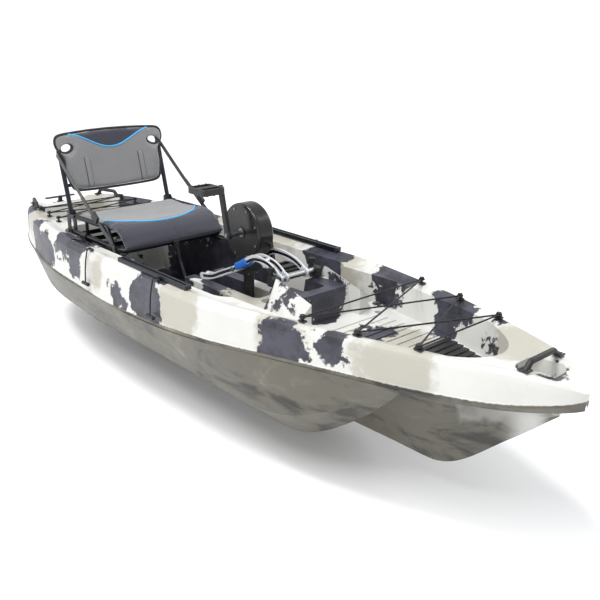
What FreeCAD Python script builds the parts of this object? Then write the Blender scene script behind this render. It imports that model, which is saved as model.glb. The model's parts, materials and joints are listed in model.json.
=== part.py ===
"""Sit-on-top pedal fishing kayak: moulded tri-hull, framed seat, lift-up propeller drive and rudder.

Axes: +X to the bow, +Y to port, +Z up, in millimetres. The functions work from midship; the saved parts are
moved along X so that their origin is on the keel's flat just aft of the drive slot.
Every function below makes one family of parts and files each piece under its node name with add().
"""
import FreeCAD
import Part

import math
import os
from bisect import bisect_right

V = FreeCAD.Vector

# ------------------------------------------------------------------ driving dimensions
ORIGIN_X = -400.0          # where the saved parts' origin lies, measured from midship
WALL = 5.0                 # rotomoulded wall
TRIM = 1.5                 # depth shaved off the bottoms to leave true flats at z = 0
COCKPIT_FLOOR_Z = 150.0
BOW_FLOOR_Z = 352.0
TANK_FLOOR_Z = 305.0
SPINE_TOP_Z = 345.0        # raised housing round the drive slot
SHELF_Z = 405.0            # ledges that carry the seat tracks
PAD_Z = 452.0              # flats on the console that carry the drive saddles
SLOT_HALF_W = 48.0
SLOT_X = (-292.0, 180.0)
RIBBON_STEPS = 24          # points along each edge of a curved bar
GAP = 0.3                  # clearance between parts that move past each other
DECK_CLEAR = 2.0           # shim under a flat fitting, as the deck's crown can rise between the spots tried
OFFCUT = 5000.0            # smaller left-over solids than this, in mm3, are dropped
BORE_PLAY = 0.05           # radial clearance of a shaft in its bore

RAIL_Y = 391.0
RAIL_X = (-285.0, 210.0)

PIVOT_X, PIVOT_Z = 365.0, 484.0       # cross tube that the drive tips about
TUBE_R = 12.7
CRANK_X, CRANK_Z = 75.0, 600.0
CRANK_LEN = 190.0
CRANK_LEAN = 12.0                     # degrees the upper crank leans aft at rest
PROP_X, PROP_Z, PROP_R = 10.0, -38.0, 103.0
HOUSING_R, HOUSING_HALF_W = 120.0, 38.0
LEG_TOP_Z = 440.0
AXLE_R, SHAFT_R = 10.0, 6.0

SEAT_TUBE_R = 12.5
SEAT_BAR_Z = 440.0
SEAT_SIDE_Y = 272.0
RAIL_TOP_Z = 520.0                    # upper side rails that the sling hangs on
SEAT_FRONT_X, SEAT_REAR_X = -480.0, -955.0
CUSHION_X, CUSHION_Y, CUSHION_Z = (-905.0, -455.0), 250.0, (453.5, 543.0)
BACK_X, BACK_Z = -950.0, 530.0        # backrest hinge
BACK_LEAN = 14.0                      # degrees aft of upright at rest
BACK_LENGTH = 372.0

RUDDER_X = -1648.0                    # steering axis
BLADE_X, BLADE_Z = -1700.0, 391.0     # blade pivot
LEVER_X, LEVER_Y = -395.0, 366.0      # steering lever on the port deck


# ------------------------------------------------------------------ helpers
def curve(points):
    """Smooth function through (x, value) points that never overshoots them (monotone cubic)."""
    xs, ys = zip(*points)
    n = len(xs)
    slope = [(ys[i + 1] - ys[i]) / (xs[i + 1] - xs[i]) for i in range(n - 1)]
    tangent = [slope[0]]
    for a, b in zip(slope, slope[1:]):
        tangent.append(0.0 if a * b <= 0 else 2.0 * a * b / (a + b))
    tangent.append(slope[-1])

    def value(x):
        i = min(max(bisect_right(xs, x) - 1, 0), n - 2)
        h = xs[i + 1] - xs[i]
        t = min(max((x - xs[i]) / h, 0.0), 1.0)
        a = (1 + 2 * t) * (1 - t) ** 2 * ys[i] + t * t * (3 - 2 * t) * ys[i + 1]
        b = h * (t * (1 - t) ** 2 * tangent[i] - t * t * (1 - t) * tangent[i + 1])
        return a + b

    return value


def box(x, y, z):
    """Box between the given (low, high) pairs."""
    return Part.makeBox(x[1] - x[0], y[1] - y[0], z[1] - z[0], V(x[0], y[0], z[0]))


def rod(start, end, radius):
    """Cylinder between two points."""
    a, b = V(*start), V(*end)
    return Part.makeCylinder(radius, (b - a).Length, a, b - a)


def ring(start, end, outer, inner):
    return rod(start, end, outer).cut(rod(start, end, inner))


def mirror_y(shape):
    return shape.mirror(V(0, 0, 0), V(0, 1, 0))


def both(shape):
    """A starboard shape with its port mirror image."""
    return Part.makeCompound([shape, mirror_y(shape)])


def union(shapes):
    shapes = list(shapes)
    return shapes[0] if len(shapes) == 1 else shapes[0].fuse(shapes[1:])


def prism(points, direction):
    """Extrusion of a closed polygon of (x, y, z) points."""
    wire = Part.makePolygon([V(*p) for p in points] + [V(*points[0])])
    return Part.Face(wire).extrude(V(*direction))


def rounded_wire(x, half_w, z, radius, y_mid=0.0):
    """Rounded rectangle outline, x = (low, high), at one height."""
    plate = box(x, (y_mid - half_w, y_mid + half_w), (z, z + 10.0))
    uprights = [e for e in plate.Edges if abs(e.tangentAt(e.FirstParameter).z) > 0.9]
    plate = plate.makeFillet(radius, uprights)
    bottom = min(plate.Faces, key=lambda f: f.CenterOfMass.z)
    return bottom.OuterWire


def tray(x, half_w, z, flare, radius, y_mid=0.0):
    """Recess cutter with rounded corners whose walls lean outwards by flare from floor to top."""
    low = rounded_wire(x, half_w, z[0], radius, y_mid)
    high = rounded_wire((x[0] - flare, x[1] + flare), half_w + flare, z[1], radius + flare * 0.5, y_mid)
    return Part.makeLoft([low, high], True, True)


def path_wire(points, bend):
    """Straight runs joined by arcs of the bend radius."""
    corners = [V(*p) for p in points]
    edges, start = [], corners[0]
    for before, corner, after in zip(corners, corners[1:], corners[2:]):
        back, ahead = (before - corner).normalize(), (after - corner).normalize()
        half = back.getAngle(ahead) / 2
        into, out = corner + back * (bend / math.tan(half)), corner + ahead * (bend / math.tan(half))
        centre = corner + (back + ahead).normalize() * (bend / math.sin(half))
        middle = centre + (corner - centre).normalize() * bend
        edges += [Part.LineSegment(start, into).toShape(), Part.Arc(into, middle, out).toShape()]
        start = out
    edges.append(Part.LineSegment(start, corners[-1]).toShape())
    return Part.Wire(edges)


def pipe(points, bend, radius, wall=0.0):
    """Round bar, or tube where a wall is given, bent through the points."""
    path, start = path_wire(points, bend), V(*points[0])

    def sweep(r):
        profile = Part.Wire(Part.Circle(start, V(*points[1]) - start, r).toShape())
        return path.makePipeShell([profile], True, False)

    return sweep(radius).cut(sweep(radius - wall)) if wall else sweep(radius)


def lean_point(along, ahead, y):
    """Point of the leaning backrest: distance up from its hinge, and ahead of its posts."""
    a = math.radians(BACK_LEAN)
    x = BACK_X - along * math.sin(a) + ahead * math.cos(a)
    return (x, y, BACK_Z + along * math.cos(a) + ahead * math.sin(a))


def flat_bar(path, height, y):
    """Plate bar with round ends: a polyline in x, z thickened to height, from y = low to high."""
    pieces = []
    for (xa, za), (xb, zb) in zip(path, path[1:]):
        a, b = V(xa, y[0], za), V(xb, y[0], zb)
        along = (b - a).normalize()
        side = V(-along.z, 0, along.x) * (height / 2)
        corners = [tuple(a + side), tuple(b + side), tuple(b - side), tuple(a - side)]
        pieces.append(prism(corners, (0, y[1] - y[0], 0)))
    for x, z in path:
        pieces.append(rod((x, y[0], z), (x, y[1], z), height / 2))
    return union(pieces).removeSplitter()


def ribbon(path, height, y):
    """Plate bar of constant height on a smooth curve through (x, z) points, from y = low to high."""
    middle = Part.BSplineCurve()
    middle.interpolate([V(x, y[0], z) for x, z in path])
    first, last = middle.FirstParameter, middle.LastParameter
    upper, lower = [], []
    for k in range(RIBBON_STEPS + 1):
        t = first + (last - first) * k / RIBBON_STEPS
        along = middle.tangent(t)[0]
        side = V(-along.z, 0, along.x) * (height / 2)
        upper.append(middle.value(t) + side)
        lower.append(middle.value(t) - side)
    edges = []
    for points in (upper, lower):
        edge = Part.BSplineCurve()
        edge.interpolate(points)
        edges.append(edge.toShape())
    ends = [Part.LineSegment(upper[i], lower[i]).toShape() for i in (0, -1)]
    outline = Part.Wire(Part.__sortEdges__(edges + ends))
    bar = Part.Face(outline).extrude(V(0, y[1] - y[0], 0))
    caps = [rod((x, y[0], z), (x, y[1], z), height / 2) for x, z in (path[0], path[-1])]
    return union([bar] + caps)


nodes = {}


def add(name, *shapes):
    nodes.setdefault(name, []).extend(shapes)


# ------------------------------------------------------------------ hull
half_beam = curve([(-1600, 196), (-1570, 232), (-1500, 272), (-1350, 325), (-1150, 375), (-900, 418),
                   (-500, 442), (0, 445), (300, 441), (600, 396), (876, 337), (1154, 253), (1390, 172),
                   (1500, 110), (1560, 66), (1590, 30), (1600, 9)])
rub_z = curve([(-1600, 322), (-1200, 298), (-600, 286), (-100, 286), (300, 322), (600, 345), (900, 362),
               (1150, 366), (1300, 374), (1450, 387), (1600, 412)])
crown_z = curve([(-1600, 436), (-1450, 447), (-1100, 451), (-500, 450), (100, 450), (600, 459), (1100, 466),
                 (1400, 465), (1540, 456), (1600, 438)])
under_z = curve([(-1600, 160), (-1250, 72), (-1000, 50), (100, 46), (400, 60), (600, 110), (800, 190),
                 (1000, 268), (1100, 312), (1200, 334), (1400, 352), (1520, 370), (1600, 402)])

keel_z = curve([(-1600, 150), (-1450, 78), (-1250, 20), (-1000, -TRIM), (1080, -TRIM), (1150, 18), (1215, 58),
                (1350, 178), (1440, 258), (1524, 336)])
keel_edge_y = curve([(-1600, 30), (-900, 26), (600, 24), (900, 15), (1200, 9), (1440, 5), (1524, 3)])
keel_bulge = curve([(-1600, 60), (600, 62), (800, 68), (1000, 70), (1200, 50), (1350, 27), (1440, 13),
                    (1524, 4)])
keel_bulge_z = curve([(-1600, 170), (-1250, 45), (-1000, 28), (400, 30), (600, 50), (800, 84), (1000, 120),
                      (1200, 175), (1350, 258), (1440, 306), (1524, 341)])
keel_root = curve([(-1600, 85), (600, 95), (800, 110), (1000, 116), (1200, 88), (1350, 47), (1440, 21),
                   (1524, 5)])
keel_root_z = curve([(-1600, 200), (-1250, 90), (-1000, 70), (100, 66), (400, 76), (600, 126), (800, 205),
                     (1000, 282), (1200, 340), (1440, 349), (1524, 347)])
keel_top_z = curve([(-1600, 240), (-1000, 110), (400, 115), (800, 260), (1100, 380), (1400, 400), (1450, 378),
                    (1524, 352)])

sponson_z = curve([(-1600, 140), (-1450, 78), (-1250, 20), (-1000, -TRIM), (590, -TRIM), (700, 22), (800, 72),
                   (900, 140), (1000, 222), (1080, 302), (1130, 354)])
sponson_in = curve([(-1600, 80), (-1000, 158), (0, 165), (900, 172), (1130, 172)])
sponson_out = curve([(-1600, 128), (-1250, 196), (-800, 235), (600, 235), (900, 228), (1130, 200)])
bilge_y = curve([(-1600, 176), (-1350, 262), (-1100, 312), (-800, 340), (500, 345), (700, 326), (900, 288),
                 (1000, 266), (1130, 236)])
bilge_z = curve([(-1600, 215), (-1250, 112), (-800, 95), (500, 95), (700, 122), (800, 160), (900, 214),
                 (1000, 284), (1080, 334), (1130, 359)])

SLAB_STATIONS = (-1600, -1570, -1500, -1350, -1150, -900, -600, -200, 150, 400, 600, 800, 950, 1100, 1220,
                 1330, 1420, 1500, 1560, 1590, 1600)
KEEL_STATIONS = (-1600, -1450, -1250, -1000, -500, 0, 400, 600, 800, 950, 1080, 1150, 1250, 1350, 1440, 1524)
SPONSON_STATIONS = (-1600, -1450, -1250, -1000, -500, 0, 400, 590, 700, 800, 900, 1000, 1080, 1130)


def section(x, points):
    """Closed wire at station x from (y, z) points."""
    outline = [V(x, y, z) for y, z in points]
    return Part.makePolygon(outline + [outline[0]])


def mirrored(half):
    """Full outline from the starboard half, which starts and ends on the centreline."""
    return [(-y, z) for y, z in half] + [(y, z) for y, z in reversed(half[1:-1])]


def shrink(points, inset):
    """Outline moved in by inset on its widest and tallest extents."""
    ys, zs = zip(*points)
    cy, cz = (min(ys) + max(ys)) / 2, (min(zs) + max(zs)) / 2
    ky = 1 - 2 * inset / (max(ys) - min(ys))
    kz = 1 - 2 * inset / (max(zs) - min(zs))
    return [(cy + (y - cy) * ky, cz + (z - cz) * kz) for y, z in points]


def slab_outline(x):
    """Upper hull: underside, rub line, leaning side, rounded gunwale and flat deck."""
    b, rub, top, under = half_beam(x), rub_z(x), crown_z(x), under_z(x)
    k = min(1.0, b / 150.0)
    return mirrored([(0, under), (b * 0.55, under + 6 * k), (b - 30 * k, rub - 26), (b, rub - 4),
                     (b - 7 * k, rub + 8), (b - 12 * k, top - 10), (b - 22 * k, top + 8 * k),
                     (b - 42 * k, top + 17 * k), (b - 66 * k, top + 12 * k), (b - 92 * k, top), (0, top)])


def keel_outline(x):
    return mirrored([(0, keel_z(x)), (keel_edge_y(x), keel_z(x)), (keel_bulge(x), keel_bulge_z(x)),
                     (keel_root(x), keel_root_z(x)), (keel_root(x), keel_top_z(x)), (0, keel_top_z(x))])


def sponson_outline(x):
    """Starboard side float, from its flat bottom round the bilge to the rub line."""
    b, rub = half_beam(x), rub_z(x)
    lift = sponson_z(x)
    return [(-sponson_in(x), lift), (-sponson_out(x), lift), (-bilge_y(x), bilge_z(x)), (-(b - 6), rub - 10),
            (-(b - 50), rub + 28), (-sponson_in(x) + 18, max(under_z(x) + 45, lift + 12))]


def loft(outline, stations, inset=0.0, trim=(0.0, 0.0)):
    low, high = stations[0] + trim[0], stations[-1] - trim[1]
    xs = sorted({min(max(x, low), high) for x in stations})
    rings = [section(x, shrink(outline(x), inset) if inset else outline(x)) for x in xs]
    return Part.makeLoft(rings, True, False)


def hull_solid(slab, inset):
    """Union of slab, keel and the two floats; a positive inset gives the hollow's shape."""
    keel = loft(keel_outline, KEEL_STATIONS, inset, (inset, inset * 22))
    sponson = loft(sponson_outline, SPONSON_STATIONS, inset, (inset, inset * 5))
    return union([slab, keel, sponson, mirror_y(sponson)])


ROD_AT, ROD_SEAT_Z = (-690.0, -362.0), 450.8       # rod holder, and the flat that its flange sits on


def bow_well_wire(flare, z):
    """Plan outline of the bow well: square at the console, rounded towards the bow."""
    side = [(560, 262), (700, 258), (880, 228), (1050, 186), (1180, 142), (1262, 84)]
    port = [V(x, y + flare, z) for x, y in side]
    starboard = [V(p.x, -p.y, z) for p in reversed(port)]
    nose = Part.BSplineCurve()
    nose.interpolate(port + [V(1292 + flare, 0, z)] + starboard)
    rear_port, rear_starboard = V(548 - flare, port[0].y, z), V(548 - flare, -port[0].y, z)
    edges = [nose.toShape(), Part.LineSegment(starboard[-1], rear_starboard).toShape(),
             Part.LineSegment(rear_starboard, rear_port).toShape(),
             Part.LineSegment(rear_port, port[0]).toShape()]
    return Part.Wire(edges)


def deck_recesses(grow):
    """Everything cut down into the deck. A positive grow gives the same recesses grown by a wall."""
    top = 560.0
    cockpit = tray((-960 - grow, 322 + grow), 285 + grow, (COCKPIT_FLOOR_Z - grow, top), 56, 80 + grow)
    spine = box((-250 + grow, 360), (-105 + grow, 105 - grow), (100, SPINE_TOP_Z - grow))
    shelf = prism([(-1040, 240 + grow, 100), (-400 - grow, 240 + grow, 100),
                   (-440 - grow, 240 + grow, SHELF_Z - grow), (-1040, 240 + grow, SHELF_Z - grow)],
                  (0, 110, 0))
    cockpit = cockpit.cut([spine, shelf, mirror_y(shelf)])
    floor = BOW_FLOOR_Z - grow
    channel = prism([(240, -290 - grow, COCKPIT_FLOOR_Z - grow),
                     (335 + grow, -290 - grow, COCKPIT_FLOOR_Z - grow),
                     (405 + grow, -290 - grow, 235 - grow), (520 + grow, -290 - grow, floor),
                     (640, -290 - grow, floor), (640, -290 - grow, top), (240, -290 - grow, top)],
                    (0, 290 - 128 + 2 * grow, 0))
    bow_well = Part.makeLoft([bow_well_wire(grow, floor), bow_well_wire(34 + grow, top)], True, True)
    tank = tray((-1470 - grow, -1075 + grow), 196 + grow, (TANK_FLOOR_Z - grow, top), 44, 60 + grow)
    console = tray((205 - grow, 478 + grow), 50 + grow, (300 - grow, top), 8, 20 + grow)
    pads = box((328 - grow, 402 + grow), (-92 - grow, 92 + grow), (PAD_Z - grow, top))
    handle = tray((1392 - grow, 1496 + grow), 52 + grow, (424 - grow, top), 34, 30 + grow)
    (rod_x, rod_y), half = ROD_AT, 29 + grow
    rod_seat = box((rod_x - 50 - grow, rod_x + 50 + grow), (rod_y - half, rod_y + half),
                   (ROD_SEAT_Z - grow, top))
    return union([cockpit, channel, mirror_y(channel), bow_well, tank, console, pads, handle, rod_seat,
                  mirror_y(rod_seat)])


def console_fin(grow):
    """Faceted brace from the starboard side of the console down to the foot channel, highest at its rear.
    A positive grow gives the hollow inside it, which opens into the hull's below the channel floor."""
    outer = [(352, 150), (360, 330), (440, 372), (560, 366), (575, 352), (575, 150)]
    inner = [(345, 150), (350, 400), (396, 502), (413, 502), (594, 453), (594, 150)]
    y_outer, y_inner = -214 + 1.8 * grow, -125 - grow

    def outline(points, y):
        middle = sum(x for x, z in points) / len(points)
        moved = [(x + math.copysign(1.6 * grow, middle - x), z - (2.2 * grow if z > 200 else 2 * grow), y)
                 for x, z in points]
        return Part.makePolygon([V(x, y, z) for x, z, y in moved + moved[:1]])

    return Part.makeLoft([outline(outer, y_outer), outline(inner, y_inner)], True, True)


SCUPPERS = [(x, y) for x in (-700, -330) for y in (-205, 205)] + [(620, -205), (620, 205)]
SCUPPER_R = 15.0
ROD_BORE_R, ROD_TUBE_R = 20.5, 23.0
DRAIN_X, DRAIN_Y, DRAIN_Z, DRAIN_R = -1600.0, -105.0, 268.0, 12.0


def rod_axis(side):
    """Point on the deck and direction of a rod holder's bore, which leans aft and outboard."""
    return V(ROD_AT[0], -ROD_AT[1] * side, 450.0), V(-0.34, 0.04 * side, 0.94).normalize()


def make_hull(slab):
    outer = hull_solid(slab, 0.0)
    hollow = hull_solid(loft(slab_outline, SLAB_STATIONS, WALL, (WALL, WALL * 5)), WALL)
    grooves = [box((x, x + 8), (-190, 190), (BOW_FLOOR_Z - 4, BOW_FLOOR_Z + 2)) for x in range(640, 960, 40)]
    scuppers = [rod((x, y, -50), (x, y, 500), SCUPPER_R) for x, y in SCUPPERS]
    scupper_walls = [rod((x, y, -50), (x, y, 500), SCUPPER_R + WALL) for x, y in SCUPPERS]
    slot = tray(SLOT_X, SLOT_HALF_W, (-20.0, SPINE_TOP_Z + 20), 0.01, 30.0)
    slot_wall = tray((SLOT_X[0] - WALL, SLOT_X[1] + WALL), SLOT_HALF_W + WALL,
                     (-20.0, SPINE_TOP_Z + 20), 0.01, 34.0)
    pocket = tray((-62.0, 150.0), 116.0, (-20.0, 74.0), 0.01, 60.0)
    pocket_wall = tray((-62.0 - WALL, 150.0 + WALL), 116.0 + WALL, (-20.0, 74.0 + WALL), 0.01, 60.0)
    below = box((-1700, 1700), (-500, 500), (-60, 0))
    bottom_wall = box((-1700, 1700), (-500, 500), (-60, WALL))
    corner = box((-1020, -480), (40, 110), (0, 62))      # the keel's side is left solid where it thins
    hull = outer.cut([deck_recesses(0.0), slot, pocket, below] + scuppers + grooves)
    walls = [deck_recesses(WALL), slot_wall, pocket_wall, bottom_wall, both(corner)]
    hollow = hollow.cut(walls + scupper_walls)
    hollow = max(hollow.Solids, key=lambda s: s.Volume)
    inside_fin = console_fin(WALL)
    hollow = hollow.fuse([inside_fin, mirror_y(inside_fin)])
    holes = [rod((DRAIN_X, DRAIN_Y, DRAIN_Z), (DRAIN_X + 30, DRAIN_Y, DRAIN_Z), DRAIN_R)]
    for side in (1, -1):
        at, axis = rod_axis(side)
        holes.append(Part.makeCylinder(ROD_TUBE_R + 0.5, 60, at - axis * 30, axis))
    fin = console_fin(0.0)
    return hull.fuse([fin, mirror_y(fin)]).cut([hollow] + holes)


# ------------------------------------------------------------------ deck fittings
class Deck:
    """Finds the moulded deck's height under a fitting."""

    def __init__(self, slab):
        self.slab = slab

    def height(self, x, y):
        edges = self.slab.common(Part.LineSegment(V(x, y, 400), V(x, y, 520)).toShape()).Edges
        return max(v.Point.z for e in edges for v in e.Vertexes)

    def under(self, x, y, half_x, half_y):
        """Lowest level at which a flat footprint clears the deck."""
        spots = [(x + i * half_x, y + j * half_y) for i in (-1, 0, 1) for j in (-1, 0, 1)]
        return max(self.height(*spot) for spot in spots) + DECK_CLEAR


def make_drain_plug():
    start = (DRAIN_X - 0.5, DRAIN_Y, DRAIN_Z)
    stem = rod(start, (DRAIN_X + 14, DRAIN_Y, DRAIN_Z), DRAIN_R - BORE_PLAY)
    cap = rod((DRAIN_X - 7, DRAIN_Y, DRAIN_Z), start, 19)
    grip = box((DRAIN_X - 14, DRAIN_X - 7), (DRAIN_Y - 14, DRAIN_Y + 14), (DRAIN_Z - 3, DRAIN_Z + 3))
    add("drain_plug", union([stem, cap, grip]))


def grab_handle(deck, a, b, rise=22.0, radius=9.5):
    """Bar handle between two deck points, each end on a plate with a screw either side of the bar."""
    feet, plates = [], []
    across = abs(b[1] - a[1]) > abs(b[0] - a[0])
    half_x, half_y = (17, 14) if across else (14, 17)
    for x, y in (a, b):
        z = deck.under(x, y, half_x, half_y)
        feet.append((x, y, z))
        plates.append(box((x - half_x, x + half_x), (y - half_y, y + half_y), (z, z + 5)))
        for offset in (-13.4, 13.4):
            sx, sy = (x + offset, y) if across else (x, y + offset)
            add("deck_screws", rod((sx, sy, z + 5.05), (sx, sy, z + 7.5), 3.2))
    top = max(p[2] for p in feet) + rise
    (xa, ya, za), (xb, yb, zb) = feet
    k = 0.16
    inner_a = (xa + (xb - xa) * k, ya + (yb - ya) * k, top)
    inner_b = (xb + (xa - xb) * k, yb + (ya - yb) * k, top)
    bar = pipe([(xa, ya, za - 4), inner_a, inner_b, (xb, yb, zb - 4)], 14, radius)
    soles = [box((x - 40, x + 40), (y - 40, y + 40), (z - 40, z)) for x, y, z in feet]
    return union(plates + [bar.cut(soles)])


def make_rails(deck):
    """T-track with end caps along each gunwale."""
    low, high = RAIL_X
    z = deck.under((low + high) / 2, -RAIL_Y, (high - low) / 2, 15.5)
    body = box((low + 14, high - 14), (-RAIL_Y - 15, -RAIL_Y + 15), (z, z + 16))
    slot = box((low, high), (-RAIL_Y - 4.2, -RAIL_Y + 4.2), (z + 4, z + 20))
    tee = box((low, high), (-RAIL_Y - 9.5, -RAIL_Y + 9.5), (z + 4, z + 11.5))
    rail = body.cut([slot, tee])
    add("gear_rails", both(rail))
    for x, other in ((low, low + 13.9), (high, high - 13.9)):
        cap = box((min(x, other), max(x, other)), (-RAIL_Y - 15.5, -RAIL_Y + 15.5), (z, z + 16.5))
        outer_end = [e for e in cap.Edges if abs(e.CenterOfMass.x - x) < 0.1]
        cap = cap.makeFillet(5, [e for e in outer_end if e.CenterOfMass.z > z + 1])
        add("end_caps", both(cap))
    for x in range(int(low) + 45, int(high) - 30, 100):
        add("deck_screws", both(rod((x, -RAIL_Y, z + 4.05), (x, -RAIL_Y, z + 7), 4.0)))


BOW_HOOKS = [(743, 304), (953, 262), (1155, 206)]
TANK_HOOKS = [(-1120, 262), (-1250, 250), (-1375, 237)]


def make_bungees(deck):
    """Posts either side of each well, with shock cord laced between them."""
    lacing = ((0, 0), (0, 1), (1, 0), (1, 2), (2, 1), (2, 2))
    for hooks in (BOW_HOOKS, TANK_HOOKS):
        level = max(deck.under(x, -y, 16, 10) for x, y in hooks)
        cords = []
        for x, y in hooks:
            z = deck.under(x, -y, 16, 10)
            pad = box((x - 16, x + 16), (-y - 10, -y + 10), (z, z + 4))
            pad = pad.makeFillet(6, [e for e in pad.Edges if abs(e.CenterOfMass.z - z - 2) < 0.1])
            post = rod((x, -y, z + 4), (x, -y, level + 16), 4.5)
            cap = rod((x, -y, level + 15), (x, -y, level + 18.5), 9)
            add("cord_hooks", both(union([pad, post, cap])))
            cords += [Part.makeTorus(9, 3.2, V(x, y * side, level + 10)) for side in (1, -1)]
        for p, s in lacing:
            (xp, yp), (xs, ys) = hooks[p], hooks[s]
            a, b = V(xp, yp, level + 10), V(xs, -ys, level + 10)
            u = (b - a).normalize()
            cords.append(rod(tuple(a + u * 8), tuple(b - u * 8), 3.0))
        add("deck_bungees", union(cords))


def make_paddle_cords(deck):
    """Cord from an eye outboard of the rail over each gunwale to a toggle hanging on the hull's side."""
    for x in (-500, 30):
        b, crown = half_beam(x), crown_z(x)
        y = b - 30
        z = deck.under(x, -y, 14, 6)
        add("cord_hooks", both(box((x - 14, x + 14), (-y - 6, -y + 6), (z, z + 9))))
        top = z + 9 + GAP + 3
        path = [(x, -y, top), (x, -(b - 13), top), (x, -(b - 2), crown - 14), (x, -(b + 5), crown - 60),
                (x, -(b + 9), 335)]
        add("paddle_cords", both(pipe(path, 8, 3.0)))
        add("cord_toggles", both(rod((x - 24, -(b + 9), 326), (x + 24, -(b + 9), 326), 8)))


def make_rod_holders():
    """Flush rod holder: leaning bore below a screwed deck flange."""
    for side in (-1, 1):
        at, axis = rod_axis(side)
        base = at - axis * 196
        tube = Part.makeCylinder(ROD_TUBE_R, 214, base, axis)
        x, y = at.x, at.y
        z = ROD_SEAT_Z + 0.1
        flange = box((x - 48, x + 48), (y - 27, y + 27), (z, z + 5))
        flange = flange.makeFillet(24, [e for e in flange.Edges if abs(e.CenterOfMass.z - z - 2.5) < 0.1])
        bore = Part.makeCylinder(ROD_BORE_R, 240, base + axis * 4, axis)
        holder = flange.fuse(tube).removeSplitter().cut(bore)
        add("rod_holders", holder.cut(box((x - 90, x + 90), (y - 60, y + 60), (z + 12, z + 60))))
        for dx in (-40, 40):
            add("deck_screws", rod((x + dx, y, z + 5.05), (x + dx, y, z + 7.5), 4.0))


def make_floor_gear():
    """Foam pads in the cockpit and the slatted mat at the front of the bow well."""
    pad = box((-235, 250), (-268, -118), (COCKPIT_FLOOR_Z + 0.1, COCKPIT_FLOOR_Z + 6))
    pad = pad.makeFillet(30, [e for e in pad.Edges if abs(e.CenterOfMass.z - COCKPIT_FLOOR_Z - 3.05) < 0.1])
    add("floor_pads", both(pad))
    z = BOW_FLOOR_Z + 0.1
    reach = curve([(960, 190), (1050, 166), (1180, 120), (1230, 92)])
    slats = [box((x, x + 22), (-reach(x + 22), reach(x + 22)), (z + 4, z + 12)) for x in range(970, 1190, 32)]
    bars = [box((970, 1184), (y - 8, y + 8), (z, z + 6)) for y in (-80, 0, 80)]
    add("slatted_mat", union(slats + bars))


# ------------------------------------------------------------------ seat
def make_seat_tracks():
    for x in range(-930, -440, 120):
        add("deck_screws", both(rod((x, -SEAT_SIDE_Y, SHELF_Z + 3.1), (x, -SEAT_SIDE_Y, SHELF_Z + 4.5), 4.5)))
    track = box((-952, -448), (-SEAT_SIDE_Y - 22, -SEAT_SIDE_Y + 22), (SHELF_Z + 0.1, SHELF_Z + 6))
    groove = box((-960, -440), (-SEAT_SIDE_Y - 9, -SEAT_SIDE_Y + 9), (SHELF_Z + 3, SHELF_Z + 7))
    add("seat_tracks", both(track.cut(groove)))


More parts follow.
